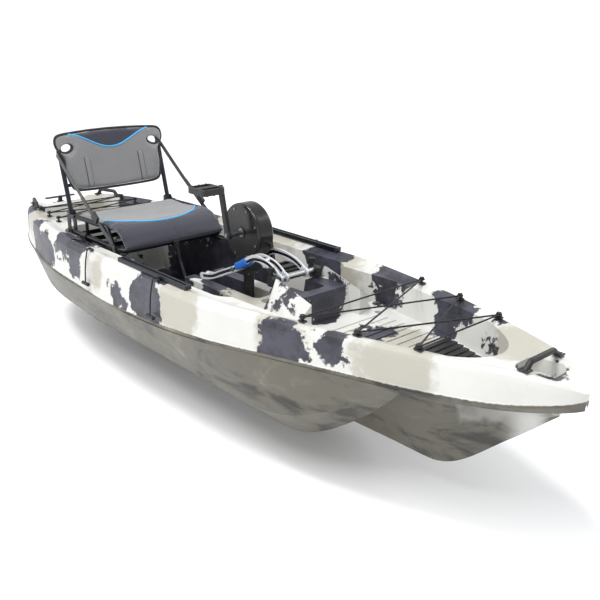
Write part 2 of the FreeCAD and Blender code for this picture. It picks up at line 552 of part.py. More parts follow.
def make_seat_base():
    """Tubular base on four feet that slide along the tracks, with a bent prop leg at the front."""
    y, z, r = SEAT_SIDE_Y, SEAT_BAR_Z, SEAT_TUBE_R
    corners = [(SEAT_REAR_X, -y, z), (SEAT_FRONT_X, -y, z), (SEAT_FRONT_X, y, z), (SEAT_REAR_X, y, z)]
    loop = pipe(corners, 38, r, 2)
    bars = [ring((x, -y, z), (x, y, z), r - 1.5, r - 3.5) for x in (-610, -760, -880)]
    plugs = [rod((x, s * (y - r + 1), z), (x, s * (y - r + 3), z), r - 2)
             for x in (-610, -760, -880) for s in (-1, 1)]
    bars = [b.cut([rod((SEAT_REAR_X, s * y, z), (SEAT_FRONT_X, s * y, z), r) for s in (-1, 1)]) for b in bars]
    rails = []
    for s in (-1, 1):
        side_rail = [(-914, s * y, RAIL_TOP_Z), (-612, s * y, RAIL_TOP_Z + 6), (-556, s * y, z + 4)]
        rails.append(pipe(side_rail, 36, 11.5, 2))
    legs = [rod((-800, s * y, z + 8), (-800, s * y, RAIL_TOP_Z - 6), 8) for s in (-1, 1)]
    frame = union([loop] + bars + plugs + rails + legs)
    add("seat_base_frame", frame)
    low = SHELF_Z + 6 + GAP
    for x in (-568, -820):
        foot = box((x - 24, x + 24), (-y - 20, -y + 20), (low, z + 8))
        foot = foot.cut(rod((x - 30, -y, z), (x + 30, -y, z), r + 0.02))
        strap = ring((x - 18, -y, z), (x + 18, -y, z), r + 5, r + 0.02)
        feet = both(union([foot, strap.cut(foot)])).cut(frame)
        add("seat_feet", *[solid for solid in feet.Solids if solid.Volume > OFFCUT])
    knee = [(-440, 0, z - 90), (-392, 0, z - 180)]
    leg = pipe([(-462, 0, z - r - 6)] + knee + [(-388, 0, COCKPIT_FLOOR_Z + 34)], 40, 9, 2)
    clamp = ring((SEAT_FRONT_X, -16, z), (SEAT_FRONT_X, 16, z), r + 5, r + 0.02)
    boss = rod((-464, 0, z - r - 14), (-464, 0, z - 4), 13)
    boss = boss.cut(rod((-462, 0, z - 60), (-462, 0, z - r - 3), 9.02))
    boss = boss.cut(rod((SEAT_FRONT_X, -30, z), (SEAT_FRONT_X, 30, z), r + 3))
    flat = box((SEAT_FRONT_X - 40, SEAT_FRONT_X + 40), (-30, 30), (CUSHION_Z[0] - GAP, CUSHION_Z[0] + 30))
    clamp = union([clamp, boss]).cut(flat)
    add("seat_brackets", clamp)
    add("seat_prop_leg", leg.cut(clamp))
    rubber = rod((-388, 0, COCKPIT_FLOOR_Z + 1), (-388, 0, COCKPIT_FLOOR_Z + 40), 16)
    socket = rod((-388, 0, COCKPIT_FLOOR_Z + 33), (-388, 0, COCKPIT_FLOOR_Z + 60), 9.05)
    add("seat_leg_foot", rubber.cut([socket, leg]))
    for s in (-1, 1):
        for dy in (-14.5, 14.5):
            yy = s * y + dy
            plate = box((-966, -934), (yy - 2, yy + 2), (z - 4, BACK_Z))
            arm_plate = box((-940, -900), (yy - 2, yy + 2), (RAIL_TOP_Z - 10, RAIL_TOP_Z + 10))
            ear = rod((BACK_X, yy - 2, BACK_Z), (BACK_X, yy + 2, BACK_Z), 16)
            pin_hole = rod((BACK_X, yy - 3, BACK_Z), (BACK_X, yy + 3, BACK_Z), 5.02)
            add("seat_brackets", union([plate, ear, arm_plate]).cut(pin_hole))
        add("hinge_pins", rod((BACK_X, s * y - 19, BACK_Z), (BACK_X, s * y + 19, BACK_Z), 5))


def soft_block(x, y, z, radius):
    block = box(x, y, z)
    return block.makeFillet(radius, block.Edges)


def make_cushions():
    add("seat_cushion", soft_block(CUSHION_X, (-CUSHION_Y, CUSHION_Y), CUSHION_Z, 24))
    half, low, high, ear = 222, 100, BACK_LENGTH, 278
    outline = [(-half, low), (half, low), (half + 14, 190), (half + 24, 280), (ear, 318), (ear, high - 24),
               (ear - 26, high), (-ear + 26, high), (-ear, high - 24), (-ear, 318), (-half - 24, 280),
               (-half - 14, 190)]
    a = math.radians(BACK_LEAN)
    front = V(math.cos(a), 0, math.sin(a)) * 40
    panel = prism([lean_point(up, 15, y) for y, up in outline], tuple(front))
    edges = [e for e in panel.Edges if abs(abs(e.tangentAt(e.FirstParameter).dot(front)) - 40) > 1]
    add("back_cushion", panel.makeFillet(12, edges))


def make_back_frame():
    y = SEAT_SIDE_Y
    ends = [lean_point(up, 0, side) for up, side in ((-9, -y), (350, -y), (350, y), (-9, y))]
    posts = pipe(ends, 50, 11, 2)
    plugs = [rod((BACK_X, s * y - 8, BACK_Z), (BACK_X, s * y + 8, BACK_Z), 8.8) for s in (-1, 1)]
    bores = [rod((BACK_X, s * y - 40, BACK_Z), (BACK_X, s * y + 40, BACK_Z), 5 + BORE_PLAY) for s in (-1, 1)]
    lower = rod(lean_point(130, 0, -y + 9.5), lean_point(130, 0, y - 9.5), 8)
    add("back_frame", union([posts, lower] + plugs).cut(bores))


def make_straps():
    """Side straps from the backrest's posts down to the front of the base, each with a buckle."""
    y = SEAT_SIDE_Y
    at = 282
    for s in (-1, 1):
        clasp = ring(lean_point(at - 14, 0, s * y), lean_point(at + 14, 0, s * y), 14, 11.03)
        add("strap_clasps", clasp)
    top, foot = lean_point(at, 0, 0), (-530, 0, SEAT_BAR_Z + 20)
    a, b = V(top[0], -290, top[2]), V(foot[0], -290, foot[2])
    u = (b - a).normalize()
    side = V(-u.z, 0, u.x) * 11
    strap = prism([tuple(a + side), tuple(b + side), tuple(b - side), tuple(a - side)], (0, -2, 0))
    anchor = ring((-541, -y, SEAT_BAR_Z), (-519, -y, SEAT_BAR_Z), SEAT_TUBE_R + 2.2, SEAT_TUBE_R + 0.05)
    tab = box((-541, -519), (-290, -y - SEAT_TUBE_R - 1), (SEAT_BAR_Z - 5, SEAT_BAR_Z + 22))
    add("seat_straps", both(union([strap, tab, anchor])))
    c = a + u * 420
    long, wide = u * 24, V(-u.z, 0, u.x) * 17
    block = [c - long - wide, c + long - wide, c + long + wide, c - long + wide]
    buckle = prism([(p.x, -284.5, p.z) for p in block], (0, -13, 0))
    add("strap_buckles", both(buckle.cut(strap.fuse(strap))))


# ------------------------------------------------------------------ pedal drive
def make_cross_tube(deck):
    """Fixed tube across the console, held in two saddles outboard of the arms that knobs clamp down."""
    tube = ring((PIVOT_X, -118, PIVOT_Z), (PIVOT_X, 118, PIVOT_Z), TUBE_R, TUBE_R - 2.5)
    add("cross_tube", tube)
    stud_x = PIVOT_X - 21
    for s, name in ((-1, "starboard"), (1, "port")):
        mid, low, high = s * 105, *sorted((s * 94, s * 116))
        base, top = deck.under(PIVOT_X - 2, mid, 28, 11), PIVOT_Z + 16
        block = box((PIVOT_X - 30, PIVOT_X + 26), (low, high), (base, top))
        block = block.makeFillet(8, [e for e in block.Edges if e.CenterOfMass.z > top - 1 and abs(
            e.CenterOfMass.y - mid) < 1])
        block = block.cut([rod((PIVOT_X, low - 1, PIVOT_Z), (PIVOT_X, high + 1, PIVOT_Z), TUBE_R + 0.02),
                           rod((stud_x, mid, base + 6), (stud_x, mid, top + 1), 3 + BORE_PLAY)])
        add("drive_saddles", block)
        hub = rod((stud_x, mid, top + GAP), (stud_x, mid, top + 20), 9)
        lobes = [rod((stud_x + 11 * math.cos(t), mid + 11 * math.sin(t), top + 12),
                     (stud_x + 11 * math.cos(t), mid + 11 * math.sin(t), top + 26), 5.5)
                 for t in (math.radians(30 + 72 * k) for k in range(5))]
        dome = rod((stud_x, mid, top + 12), (stud_x, mid, top + 28), 11)
        stud = rod((stud_x, mid, base + 10), (stud_x, mid, top + 1), 3)
        add("clamp_knob_" + name, union([hub, dome, stud] + lobes))
        add("end_caps", rod((PIVOT_X, s * 118.05, PIVOT_Z), (PIVOT_X, s * 121, PIVOT_Z), TUBE_R))


ARM_PATH = [(365, 484), (330, 512), (270, 531), (207, 531), (130, 484), (75, 454), (0, 421), (-70, 389),
            (-148, 373)]
PORT_PATH = [(365, 484), (330, 510), (270, 527), (172, 527), (112, 490), (75, 454)]


def arm(path, y, height):
    bar = ribbon(path, height, y)
    hub = rod((PIVOT_X, y[0], PIVOT_Z), (PIVOT_X, y[1], PIVOT_Z), TUBE_R + 7)
    holes = [rod((PIVOT_X, y[0] - 1, PIVOT_Z), (PIVOT_X, y[1] + 1, PIVOT_Z), TUBE_R + BORE_PLAY),
             rod((75, y[0] - 1, 454), (75, y[1] + 1, 454), 5.02)]
    return union([bar, hub]).cut(holes)


def make_drive_frame():
    """Twin curved bars to starboard and one to port, which carry the gearbox and tip about the cross tube."""
    inner, outer = arm(ARM_PATH, (-54, -47), 25), arm(ARM_PATH, (-84, -77), 25)
    add("drive_arms", inner.cut(rod((130, -60, 484), (130, -40, 484), 6)),
        outer.cut(rod((130, -90, 484), (130, -60, 484), 6)))
    add("drive_arms", arm(PORT_PATH, (47, 54), 25))
    grip_pin = rod((130, -83, 484), (130, -47, 484), 5.95)
    add("lift_grip", union([rod((130, -76.9, 484), (130, -54.1, 484), 14), grip_pin]))
    for x, z in ((0, 421), (-135, 376), (270, 531)):
        add("drive_arms", ring((x, -76.95, z), (x, -54.05, z), 9, 4))
    for far, face in ((-90, -84.1), (60, 54.1)):
        blind = math.copysign(14, face)
        head = rod((75, far, 454), (75, face, 454), 9)
        add("frame_bolt", rod((75, face, 454), (75, blind, 454), 5).fuse(head))


def make_gearbox():
    """Round gearbox in two shells round the crank, with a neck that the leg is bolted to."""
    def shell(side):
        low, high = sorted((0.05 * side, HOUSING_HALF_W * side))
        disc = rod((CRANK_X, low, CRANK_Z), (CRANK_X, high, CRANK_Z), HOUSING_R)
        face = side * HOUSING_HALF_W
        rim = [e for e in disc.Edges if abs(e.CenterOfMass.y - face) < 0.1]
        disc = disc.makeFillet(11, [e for e in rim if e.Curve.TypeId == "Part::GeomCircle"])
        neck_low, neck_high = sorted((0.05 * side, 34 * side))
        neck = box((38, 112), (neck_low, neck_high), (LEG_TOP_Z, 505))
        wall_low, wall_high = sorted((-1 * side, (HOUSING_HALF_W - 5) * side))
        hollow = rod((CRANK_X, wall_low, CRANK_Z), (CRANK_X, wall_high, CRANK_Z), HOUSING_R - 6)
        bore_low, bore_high = sorted((0, side * 60))
        cuts = [hollow, rod((CRANK_X, bore_low, CRANK_Z), (CRANK_X, bore_high, CRANK_Z), 18.02),
                rod((75, 0, LEG_TOP_Z - 5), (75, 0, 520), SHAFT_R + 2),
                rod((75, -60, 454), (75, 60, 454), 5.02)]
        boss_low, boss_high = sorted((side * (HOUSING_HALF_W - 12), side * (HOUSING_HALF_W + 3)))
        boss = rod((CRANK_X, boss_low, CRANK_Z), (CRANK_X, boss_high, CRANK_Z), 27)
        return union([disc, neck]).cut(hollow).fuse(boss).cut(cuts[1:])

    add("housing_starboard", shell(-1))
    add("housing_port", shell(1))
    for s in (-1, 1):
        low, high = sorted((s * (HOUSING_HALF_W - 11), s * (HOUSING_HALF_W + 2)))
        add("drive_bearings", ring((CRANK_X, low, CRANK_Z), (CRANK_X, high, CRANK_Z), 18, AXLE_R + BORE_PLAY))
    for k in range(8):
        t = math.radians(22.5 + 45 * k)
        x, z = CRANK_X + 100 * math.cos(t), CRANK_Z + 100 * math.sin(t)
        for s in (-1, 1):
            head = rod((x, s * (HOUSING_HALF_W + 0.05), z), (x, s * (HOUSING_HALF_W + 3), z), 4.5)
            add("drive_bolts", head)


def make_leg():
    """Faired leg down through the hull to the propeller's gearcase."""
    def fairing(z):
        ellipse = Part.Ellipse(V(75, 0, z), 30, 15)
        return Part.Wire(ellipse.toShape())

    shaft_way = rod((75, 0, -60), (75, 0, 460), SHAFT_R + 2)
    body = Part.makeLoft([fairing(-14), fairing(LEG_TOP_Z - 10)], True, True)
    flange = box((42, 108), (-30, 30), (LEG_TOP_Z - 12, LEG_TOP_Z - 0.1))
    top = rod((75, 0, LEG_TOP_Z - 10), (75, 0, LEG_TOP_Z + 1), 11.02)
    axis, z = V(1, 0, 0), PROP_Z
    profile = [(32, 0), (32, 20), (40, 29), (60, 33), (100, 33), (128, 25), (146, 12), (152, 0)]
    torpedo = Part.Face(Part.makePolygon([V(x, 0, z + r) for x, r in profile + profile[:1]]))
    torpedo = torpedo.revolve(V(0, 0, z), axis, 360)
    cavity = rod((46, 0, z), (106, 0, z), 24)
    shaft_bore = rod((20, 0, z), (60, 0, z), 11.02)
    case = torpedo.cut([cavity, shaft_bore, shaft_way, body])
    add("drive_leg", union([body, flange]).cut([shaft_way, top, cavity]))
    add("gearcase", case)
    add("drive_bearings", ring((75, 0, LEG_TOP_Z - 10), (75, 0, LEG_TOP_Z - 0.1), 11, SHAFT_R + BORE_PLAY),
        ring((32, 0, z), (45, 0, z), 11, SHAFT_R + BORE_PLAY))
    for x, y in ((49, -22), (49, 22), (101, -22), (101, 22)):
        add("drive_bolts", rod((x, y, LEG_TOP_Z - 16), (x, y, LEG_TOP_Z - 12.05), 4.5))


def cone(apex, axis, near, far, gap):
    """45-degree bevel gear blank, from one distance off the apex to another."""
    return Part.makeCone(near - gap, far - gap, far - near, V(*apex) + V(*axis) * near, V(*axis))


def make_gears():
    """Face gear on the crank, pinion on the upright shaft, and a mitre pair at the propeller shaft."""
    gear = rod((CRANK_X, 10.4, CRANK_Z), (CRANK_X, 20, CRANK_Z), 96)
    hub = rod((CRANK_X, 10.4, CRANK_Z), (CRANK_X, 25, CRANK_Z), 24)
    lightening = [rod((CRANK_X + 58 * math.cos(t), 9, CRANK_Z + 58 * math.sin(t)),
                      (CRANK_X + 58 * math.cos(t), 30, CRANK_Z + 58 * math.sin(t)), 18)
                  for t in (math.radians(60 * k) for k in range(6))]
    bore = rod((CRANK_X, 0, CRANK_Z), (CRANK_X, 40, CRANK_Z), AXLE_R + 0.02)
    add("crank_gear", union([gear, hub]).cut(lightening + [bore]))
    add("crank_axle", rod((CRANK_X, -112, CRANK_Z), (CRANK_X, 112, CRANK_Z), AXLE_R))
    shaft = rod((75, 0, PROP_Z + 8), (75, 0, 526), SHAFT_R)
    pinion = rod((75, 0, 506), (75, 0, 524), 10.0)
    add("upright_shaft", union([shaft, pinion, cone((75, 0, PROP_Z), (0, 0, 1), 8, 13, GAP)]))
    tail = rod((-20, 0, PROP_Z), (67, 0, PROP_Z), SHAFT_R)
    add("propeller_shaft", union([tail, cone((75, 0, PROP_Z), (-1, 0, 0), 8, 13, GAP)]))


def blade_section(radius, chord, pitch):
    """Lens-shaped section of a propeller blade standing on +Z."""
    along = V(math.sin(pitch), math.cos(pitch), 0)
    across = V(math.cos(pitch), -math.sin(pitch), 0)
    centre, thick = V(PROP_X, 0, PROP_Z + radius), 1.6 + 4.4 * (1 - radius / PROP_R)
    stations = [(-0.5, 0), (-0.25, 0.8), (0.05, 1), (0.35, 0.55), (0.5, 0), (0.2, -0.3), (-0.2, -0.3)]
    curve_points = [centre + along * (chord * c) + across * (thick * t * 0.5) for c, t in stations]
    outline = Part.BSplineCurve()
    outline.interpolate(curve_points, PeriodicFlag=True)
    return Part.Wire(outline.toShape())


def make_propeller():
    """Two-bladed propeller that parks upright so that it passes through the slot."""
    pitch_length = 190.0
    shape = ((10, 26), (34, 38), (62, 46), (86, 38), (99, 22), (PROP_R, 9))
    wires = [blade_section(r, c, math.atan(pitch_length / (2 * math.pi * r))) for r, c in shape]
    blade = Part.makeLoft(wires, True, True)
    other = blade.copy()
    other.rotate(V(PROP_X, 0, PROP_Z), V(1, 0, 0), 180)
    hub = rod((-8, 0, PROP_Z), (31, 0, PROP_Z), 17)
    add("propeller", union([hub, blade, other]).cut(rod((-30, 0, PROP_Z), (40, 0, PROP_Z), SHAFT_R + 0.02)))
    nut = Part.makeCone(15, 8, 14, V(-8.1, 0, PROP_Z), V(-1, 0, 0))
    add("propeller_nut", nut.cut(rod((-21, 0, PROP_Z), (0, 0, PROP_Z), SHAFT_R + 0.02)))


def make_cranks():
    """Crank arms half a turn apart, each with a spindle and a flat pedal."""
    lean = math.radians(CRANK_LEAN)
    for s, name in ((-1, "starboard"), (1, "port")):
        up = -s
        end_x, end_z = CRANK_X - up * CRANK_LEN * math.sin(lean), CRANK_Z + up * CRANK_LEN * math.cos(lean)
        low, high = sorted((s * 97, s * 111))
        bar = flat_bar([(CRANK_X, CRANK_Z), (end_x, end_z)], 24, (low, high))
        hub = rod((CRANK_X, low, CRANK_Z), (CRANK_X, high, CRANK_Z), 19)
        holes = [rod((CRANK_X, low - 1, CRANK_Z), (CRANK_X, high + 1, CRANK_Z), AXLE_R + 0.02),
                 rod((end_x, low - 1, end_z), (end_x, high + 1, end_z), 7.02)]
        add("crank_arm_" + name, union([bar, hub]).cut(holes))
        add("crank_bolts", rod((CRANK_X, s * 112.05, CRANK_Z), (CRANK_X, s * 116, CRANK_Z), 8))
        add("pedal_spindles", rod((end_x, s * 98, end_z), (end_x, s * 224, end_z), 7))
        near, far = sorted((s * 120, s * 226))
        frame = box((end_x - 56, end_x + 56), (near, far), (end_z - 12, end_z + 12))
        frame = frame.makeFillet(14, [e for e in frame.Edges if abs(e.CenterOfMass.z - end_z) < 0.1])
        windows = [box((end_x + a, end_x + b), (near + 12, far - 12), (end_z - 20, end_z + 20))
                   for a, b in ((-46, -16), (16, 46))]
        studs = [rod((end_x + dx, s * y, end_z + 12 * side), (end_x + dx, s * y, end_z + 15 * side), 2.5)
                 for dx in (-51, 51) for y in (140, 173, 206) for side in (-1, 1)]
        spindle_way = rod((end_x, s * 110, end_z), (end_x, s * 224.3, end_z), 7 + BORE_PLAY)
        add("pedal_" + name, union([frame.cut(windows)] + studs).cut(spindle_way))


# ------------------------------------------------------------------ rudder
def make_rudder():
    """Transom bracket, turning head with tiller bar, and a blade that swings up aft."""
    plate = box((-1606, -1600.1), (-34, 34), (338, 434))
    lugs = [box((-1662, -1606), (-16, 16), (z, z + 12)) for z in (348, 420)]
    bores = [rod((RUDDER_X, 0, z - 1), (RUDDER_X, 0, z + 13), 6 + BORE_PLAY) for z in (348, 420)]
    add("rudder_bracket", union([plate] + lugs).cut(bores))
    for y in (-25, 25):
        for z in (350, 390, 424):
            add("deck_screws", rod((-1609, y, z), (-1606.05, y, z), 4.5))
    add("rudder_pins", rod((RUDDER_X, 0, 340), (RUDDER_X, 0, 462), 6))
    block = box((-1664, -1632), (-16, 16), (360 + GAP, 420 - GAP))
    cheeks = [box((-1716, -1660), (y - 3.5, y + 3.5), (366, 414)) for y in (-9.5, 9.5)]
    pin_hole = rod((RUDDER_X, 0, 350), (RUDDER_X, 0, 430), 6.02)
    bolt_hole = rod((BLADE_X, -30, BLADE_Z), (BLADE_X, 30, BLADE_Z), 5.02)
    add("rudder_head", union([block] + cheeks).cut([pin_hole, bolt_hole]))
    tiller = box((-1660, -1636), (-88, 88), (453, 459))
    tiller = tiller.makeFillet(10, [e for e in tiller.Edges if abs(e.CenterOfMass.z - 456) < 0.1])
    tiller = union([tiller, rod((RUDDER_X, 0, 433), (RUDDER_X, 0, 459), 12)])
    add("rudder_tiller", tiller.cut(rod((RUDDER_X, 0, 430), (RUDDER_X, 0, 470), 6.02)))
    add("rudder_pins", union([rod((BLADE_X, -13.2, BLADE_Z), (BLADE_X, 13.2, BLADE_Z), 5),
                              rod((BLADE_X, -18, BLADE_Z), (BLADE_X, -13.1, BLADE_Z), 9),
                              rod((BLADE_X, 13.1, BLADE_Z), (BLADE_X, 18, BLADE_Z), 9)]))
    outline = [(-1684, 402), (-1704, 408), (-1718, 396), (-1732, 300), (-1776, 200), (-1790, 60), (-1770, 0),
               (-1700, -12), (-1684, 60), (-1684, 330)]
    blade = prism([(x, -5 + GAP, z) for x, z in outline], (0, 10 - 2 * GAP, 0))
    add("rudder_blade", blade.cut(rod((BLADE_X, -30, BLADE_Z), (BLADE_X, 30, BLADE_Z), 5 + BORE_PLAY)))


def make_steering(deck):
    """Turning lever on the port side deck, linked to the rudder by lines inside the hull."""
    x, y = LEVER_X, LEVER_Y
    z = deck.under(x, y, 24, 24)
    base = rod((x, y, z), (x, y, z + 10), 24)
    add("lever_base", base.cut(rod((x, y, z + 2), (x, y, z + 12), 6 + BORE_PLAY)))
    stem = rod((x, y, z + 3), (x, y, z + 18), 6)
    cap = rod((x, y, z + 10 + GAP), (x, y, z + 20), 22)
    bar = box((x, x + 82), (y - 8, y + 8), (z + 12, z + 20))
    knob = rod((x + 76, y, z + 12), (x + 76, y, z + 44), 11)
    add("steering_lever", union([stem, cap, bar, knob]))


# ------------------------------------------------------------------ main
def main():
    os.makedirs("parts", exist_ok=True)
    slab = loft(slab_outline, SLAB_STATIONS)
    deck = Deck(slab)
    add("hull", make_hull(slab))
    make_drain_plug()
    add("bow_handle", grab_handle(deck, (1446, -88), (1446, 88)))
    for side in (-1, 1):
        add("stern_handles", grab_handle(deck, (-1560, 192 * side), (-1420, 238 * side)))
    make_rails(deck)
    make_bungees(deck)
    make_paddle_cords(deck)
    make_rod_holders()
    make_floor_gear()
    make_seat_tracks()
    make_seat_base()
    make_cushions()
    make_back_frame()
    make_straps()
    make_cross_tube(deck)
    make_drive_frame()
    make_gearbox()
    make_leg()
    make_gears()
    make_propeller()
    make_cranks()
    make_rudder()
    make_steering(deck)
    for name, shapes in nodes.items():
        solids = [s for shape in shapes for s in shape.Solids]
        shape = solids[0] if len(solids) == 1 else Part.makeCompound(solids)
        shape.translate(V(-ORIGIN_X, 0, 0))
        state = "valid" if shape.isValid() else "INVALID"
        print(name, state, len(solids), "solids", round(shape.Volume / 1e3, 1), "cm3")
        shape.exportStep(f"parts/{name}.step")
    print(len(nodes), "nodes")


main()
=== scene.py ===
"""Looks for the pedal kayak: blotched hull plastic, a sewn seat with straps, and each fitting's finish."""

import bpy
import bmesh
import json
import math
from mathutils import Matrix, Vector
from mathutils.bvhtree import BVHTree


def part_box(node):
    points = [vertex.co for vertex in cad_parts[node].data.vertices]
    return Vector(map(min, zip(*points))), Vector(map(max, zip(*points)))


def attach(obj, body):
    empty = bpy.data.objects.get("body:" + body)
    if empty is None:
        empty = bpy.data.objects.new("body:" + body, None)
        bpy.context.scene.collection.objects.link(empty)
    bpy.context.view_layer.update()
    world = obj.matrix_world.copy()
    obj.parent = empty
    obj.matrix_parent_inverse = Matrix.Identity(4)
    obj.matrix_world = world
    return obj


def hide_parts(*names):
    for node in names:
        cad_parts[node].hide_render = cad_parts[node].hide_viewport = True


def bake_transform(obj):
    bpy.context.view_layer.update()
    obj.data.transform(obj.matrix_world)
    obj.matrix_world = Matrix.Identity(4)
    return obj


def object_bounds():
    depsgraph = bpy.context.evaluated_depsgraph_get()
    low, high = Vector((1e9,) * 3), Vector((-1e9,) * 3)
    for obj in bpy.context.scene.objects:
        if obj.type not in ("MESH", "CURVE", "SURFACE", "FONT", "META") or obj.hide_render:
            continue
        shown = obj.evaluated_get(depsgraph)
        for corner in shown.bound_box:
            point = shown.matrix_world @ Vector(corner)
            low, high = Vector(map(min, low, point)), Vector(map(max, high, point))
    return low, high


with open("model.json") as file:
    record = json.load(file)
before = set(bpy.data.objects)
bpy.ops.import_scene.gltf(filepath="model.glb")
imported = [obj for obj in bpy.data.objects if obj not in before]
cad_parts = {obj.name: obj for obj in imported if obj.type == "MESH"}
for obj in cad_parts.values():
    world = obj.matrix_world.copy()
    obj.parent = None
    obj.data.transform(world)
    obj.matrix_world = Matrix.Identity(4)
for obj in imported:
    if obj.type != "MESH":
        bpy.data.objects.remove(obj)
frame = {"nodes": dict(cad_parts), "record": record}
CAD_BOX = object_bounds()
NODES = frame["nodes"]
JOINTS = {joint["name"]: joint for joint in frame["record"]["behaviour"]["joints"]}
PIVOT = Vector(JOINTS["drive_tilt"]["pos_m"])          # cross tube that the drive tips about
RECLINE = Vector(JOINTS["backrest_fold"]["pos_m"])     # hinge line of the backrest
HULL_LOW, HULL_HIGH = (Vector(corner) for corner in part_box("hull"))
MID_X = (HULL_LOW.x + HULL_HIGH.x) / 2                 # midship
SEAT_LOW, SEAT_HIGH = (Vector(corner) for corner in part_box("seat_cushion"))
SIDES = ((-1, "s"), (1, "p"))                          # starboard, port
ACROSS = Vector((0, 1, 0))


# ------------------------------------------------------------------ node-material helpers
class Shader:
    """One node material. Each helper returns an output socket that the next one can take."""

    MIX_A, MIX_B, MIX_OUT = 6, 7, 2                    # colour sockets of a Mix node

    def __init__(self, name):
        self.material = bpy.data.materials.new(name)
        self.material.use_nodes = True
        self.tree = self.material.node_tree
        self.surface = self.tree.nodes["Principled BSDF"]
        self.place = self.add("ShaderNodeTexCoord").outputs["Object"]

    def add(self, kind, ins=(), **settings):
        """A new node with its settings made and its inputs fed."""
        node = self.tree.nodes.new(kind)
        for key, value in settings.items():
            setattr(node, key, value)
        for where, value in dict(ins).items():
            self.feed(value, node.inputs[where])
        return node

    def feed(self, value, socket):
        """Links a socket, or sets a plain value."""
        if isinstance(value, bpy.types.NodeSocket):
            self.tree.links.new(value, socket)
        else:
            socket.default_value = value

    def set(self, **values):
        """Feeds the surface's inputs, with _ for each space in their names."""
        for key, value in values.items():
            self.feed(value, self.surface.inputs[key.replace("_", " ")])

    def math(self, op, a, b=0.0, clamp=False):
        return self.add("ShaderNodeMath", {0: a, 1: b}, operation=op, use_clamp=clamp).outputs[0]

    def vector(self, op, a, b):
        return self.add("ShaderNodeVectorMath", {0: a, 1: b}, operation=op).outputs[0]

    def noise(self, scale, detail=3.0, rough=0.55, place=None, distort=0.0, out="Fac"):
        ins = {"Vector": place or self.place, "Scale": scale, "Detail": detail, "Roughness": rough,
               "Distortion": distort}
        return self.add("ShaderNodeTexNoise", ins).outputs[out]

    def wander(self, scale, detail, spread, base):
        """A value that drifts between base and base + spread."""
        return self.math("ADD", self.math("MULTIPLY", self.noise(scale, detail), spread), base)

    def centred(self, value, spread):
        """A noise value moved to swing evenly about 0."""
        return self.math("MULTIPLY", self.math("SUBTRACT", value, 0.5), spread)

    def ramp(self, value, low, high):
        """0 below low, 1 above high, smooth between."""
        ins = {"Value": value, "From Min": low, "From Max": high}
        return self.add("ShaderNodeMapRange", ins, interpolation_type="SMOOTHSTEP").outputs["Result"]

    def mix(self, factor, a, b):
        node = self.add("ShaderNodeMix", {"Factor": factor}, data_type="RGBA")
        self.feed(a, node.inputs[self.MIX_A])
        self.feed(b, node.inputs[self.MIX_B])
        return node.outputs[self.MIX_OUT]

    def partly(self, share, mask, a, b):
        """The colour a, with up to that share of b where the mask is 1."""
        return self.mix(self.math("MULTIPLY", mask, share), a, b)

    def stretched(self, factors):
        return self.vector("MULTIPLY", self.place, factors)

    def axes(self, place=None):
        return self.add("ShaderNodeSeparateXYZ", {0: place or self.place}).outputs

    def geometry(self, out):
        return self.add("ShaderNodeNewGeometry").outputs[out]

    def waves(self, value, length):
        """A sine along the value, one wave per length."""
        return self.math("SINE", self.math("MULTIPLY", value, math.tau / length))

    def bump(self, height, strength, distance=0.001, normal=None):
        ins = {"Height": height, "Strength": strength, "Distance": distance}
        if normal:
            ins["Normal"] = normal
        out = self.add("ShaderNodeBump", ins).outputs[0]
        self.feed(out, self.surface.inputs["Normal"])
        return out


def rgb(red, green, blue):
    """Linear colour from 0-255 display values."""
    linear = []
    for channel in (red, green, blue):
        shown = channel / 255
        linear.append(shown / 12.92 if channel < 11 else ((shown + 0.055) / 1.055) ** 2.4)
    return (*linear, 1.0)


def tinted(colour, factor, lift=0.0):
    """The colour scaled by a factor and lifted a little."""
    return (*(min(1.0, channel * factor + lift) for channel in colour[:3]), 1.0)


# ------------------------------------------------------------------ finishes
THREAD = 0.0016                                        # one thread of the seat's cloth, m
RIB = 0.0025                                           # one rib of the strap webbing, m


def grained(name, colour, rough=0.45, grain=0.25, vary=0.12, metallic=0.0):
    """Moulded or painted finish: fine grain, slight colour drift and worn, lighter edges."""
    s = Shader(name)
    base = s.mix(s.noise(9.0, 4.0), tinted(colour, 1 - vary), tinted(colour, 1 + vary, 0.004))
    edge = s.ramp(s.geometry("Pointiness"), 0.53, 0.62)
    s.set(Base_Color=s.partly(0.5, edge, base, tinted(colour, 1.5, 0.03)), Metallic=metallic)
    s.set(Roughness=s.wander(35.0, 3.0, 0.22, rough - 0.11))
    s.bump(s.noise(420.0, 2.0), grain, 0.0006)
    return s.material


def brushed(name, colour, rough=0.3):
    """Drawn or anodised metal with fine lines along the part."""
    s = Shader(name)
    lines = s.noise(3.0, 3.0, place=s.stretched((4.0, 260.0, 260.0)))
    s.set(Base_Color=s.mix(lines, tinted(colour, 0.8), colour), Metallic=1.0)
    s.set(Roughness=s.wander(14.0, 4.0, 0.25, rough - 0.1))
    s.bump(lines, 0.08, 0.0003)
    return s.material


def woven(name, colour):
    """Coated cloth: crossing threads, with a little fading and dust."""
    s = Shader(name)
    x, y, z = s.axes()
    rise = s.math("ADD", x, s.math("MULTIPLY", z, 0.9))
    weave = s.math("MULTIPLY", s.waves(y, THREAD), s.waves(rise, THREAD))
    faded = s.mix(s.noise(7.0, 5.0), tinted(colour, 0.72), colour)
    gaps = s.partly(0.25, s.ramp(weave, -0.2, 0.8), faded, tinted(colour, 0.5))
    s.set(Base_Color=gaps, Roughness=0.85, Sheen_Weight=0.35)
    s.bump(weave, 0.35, 0.0004)
    return s.material


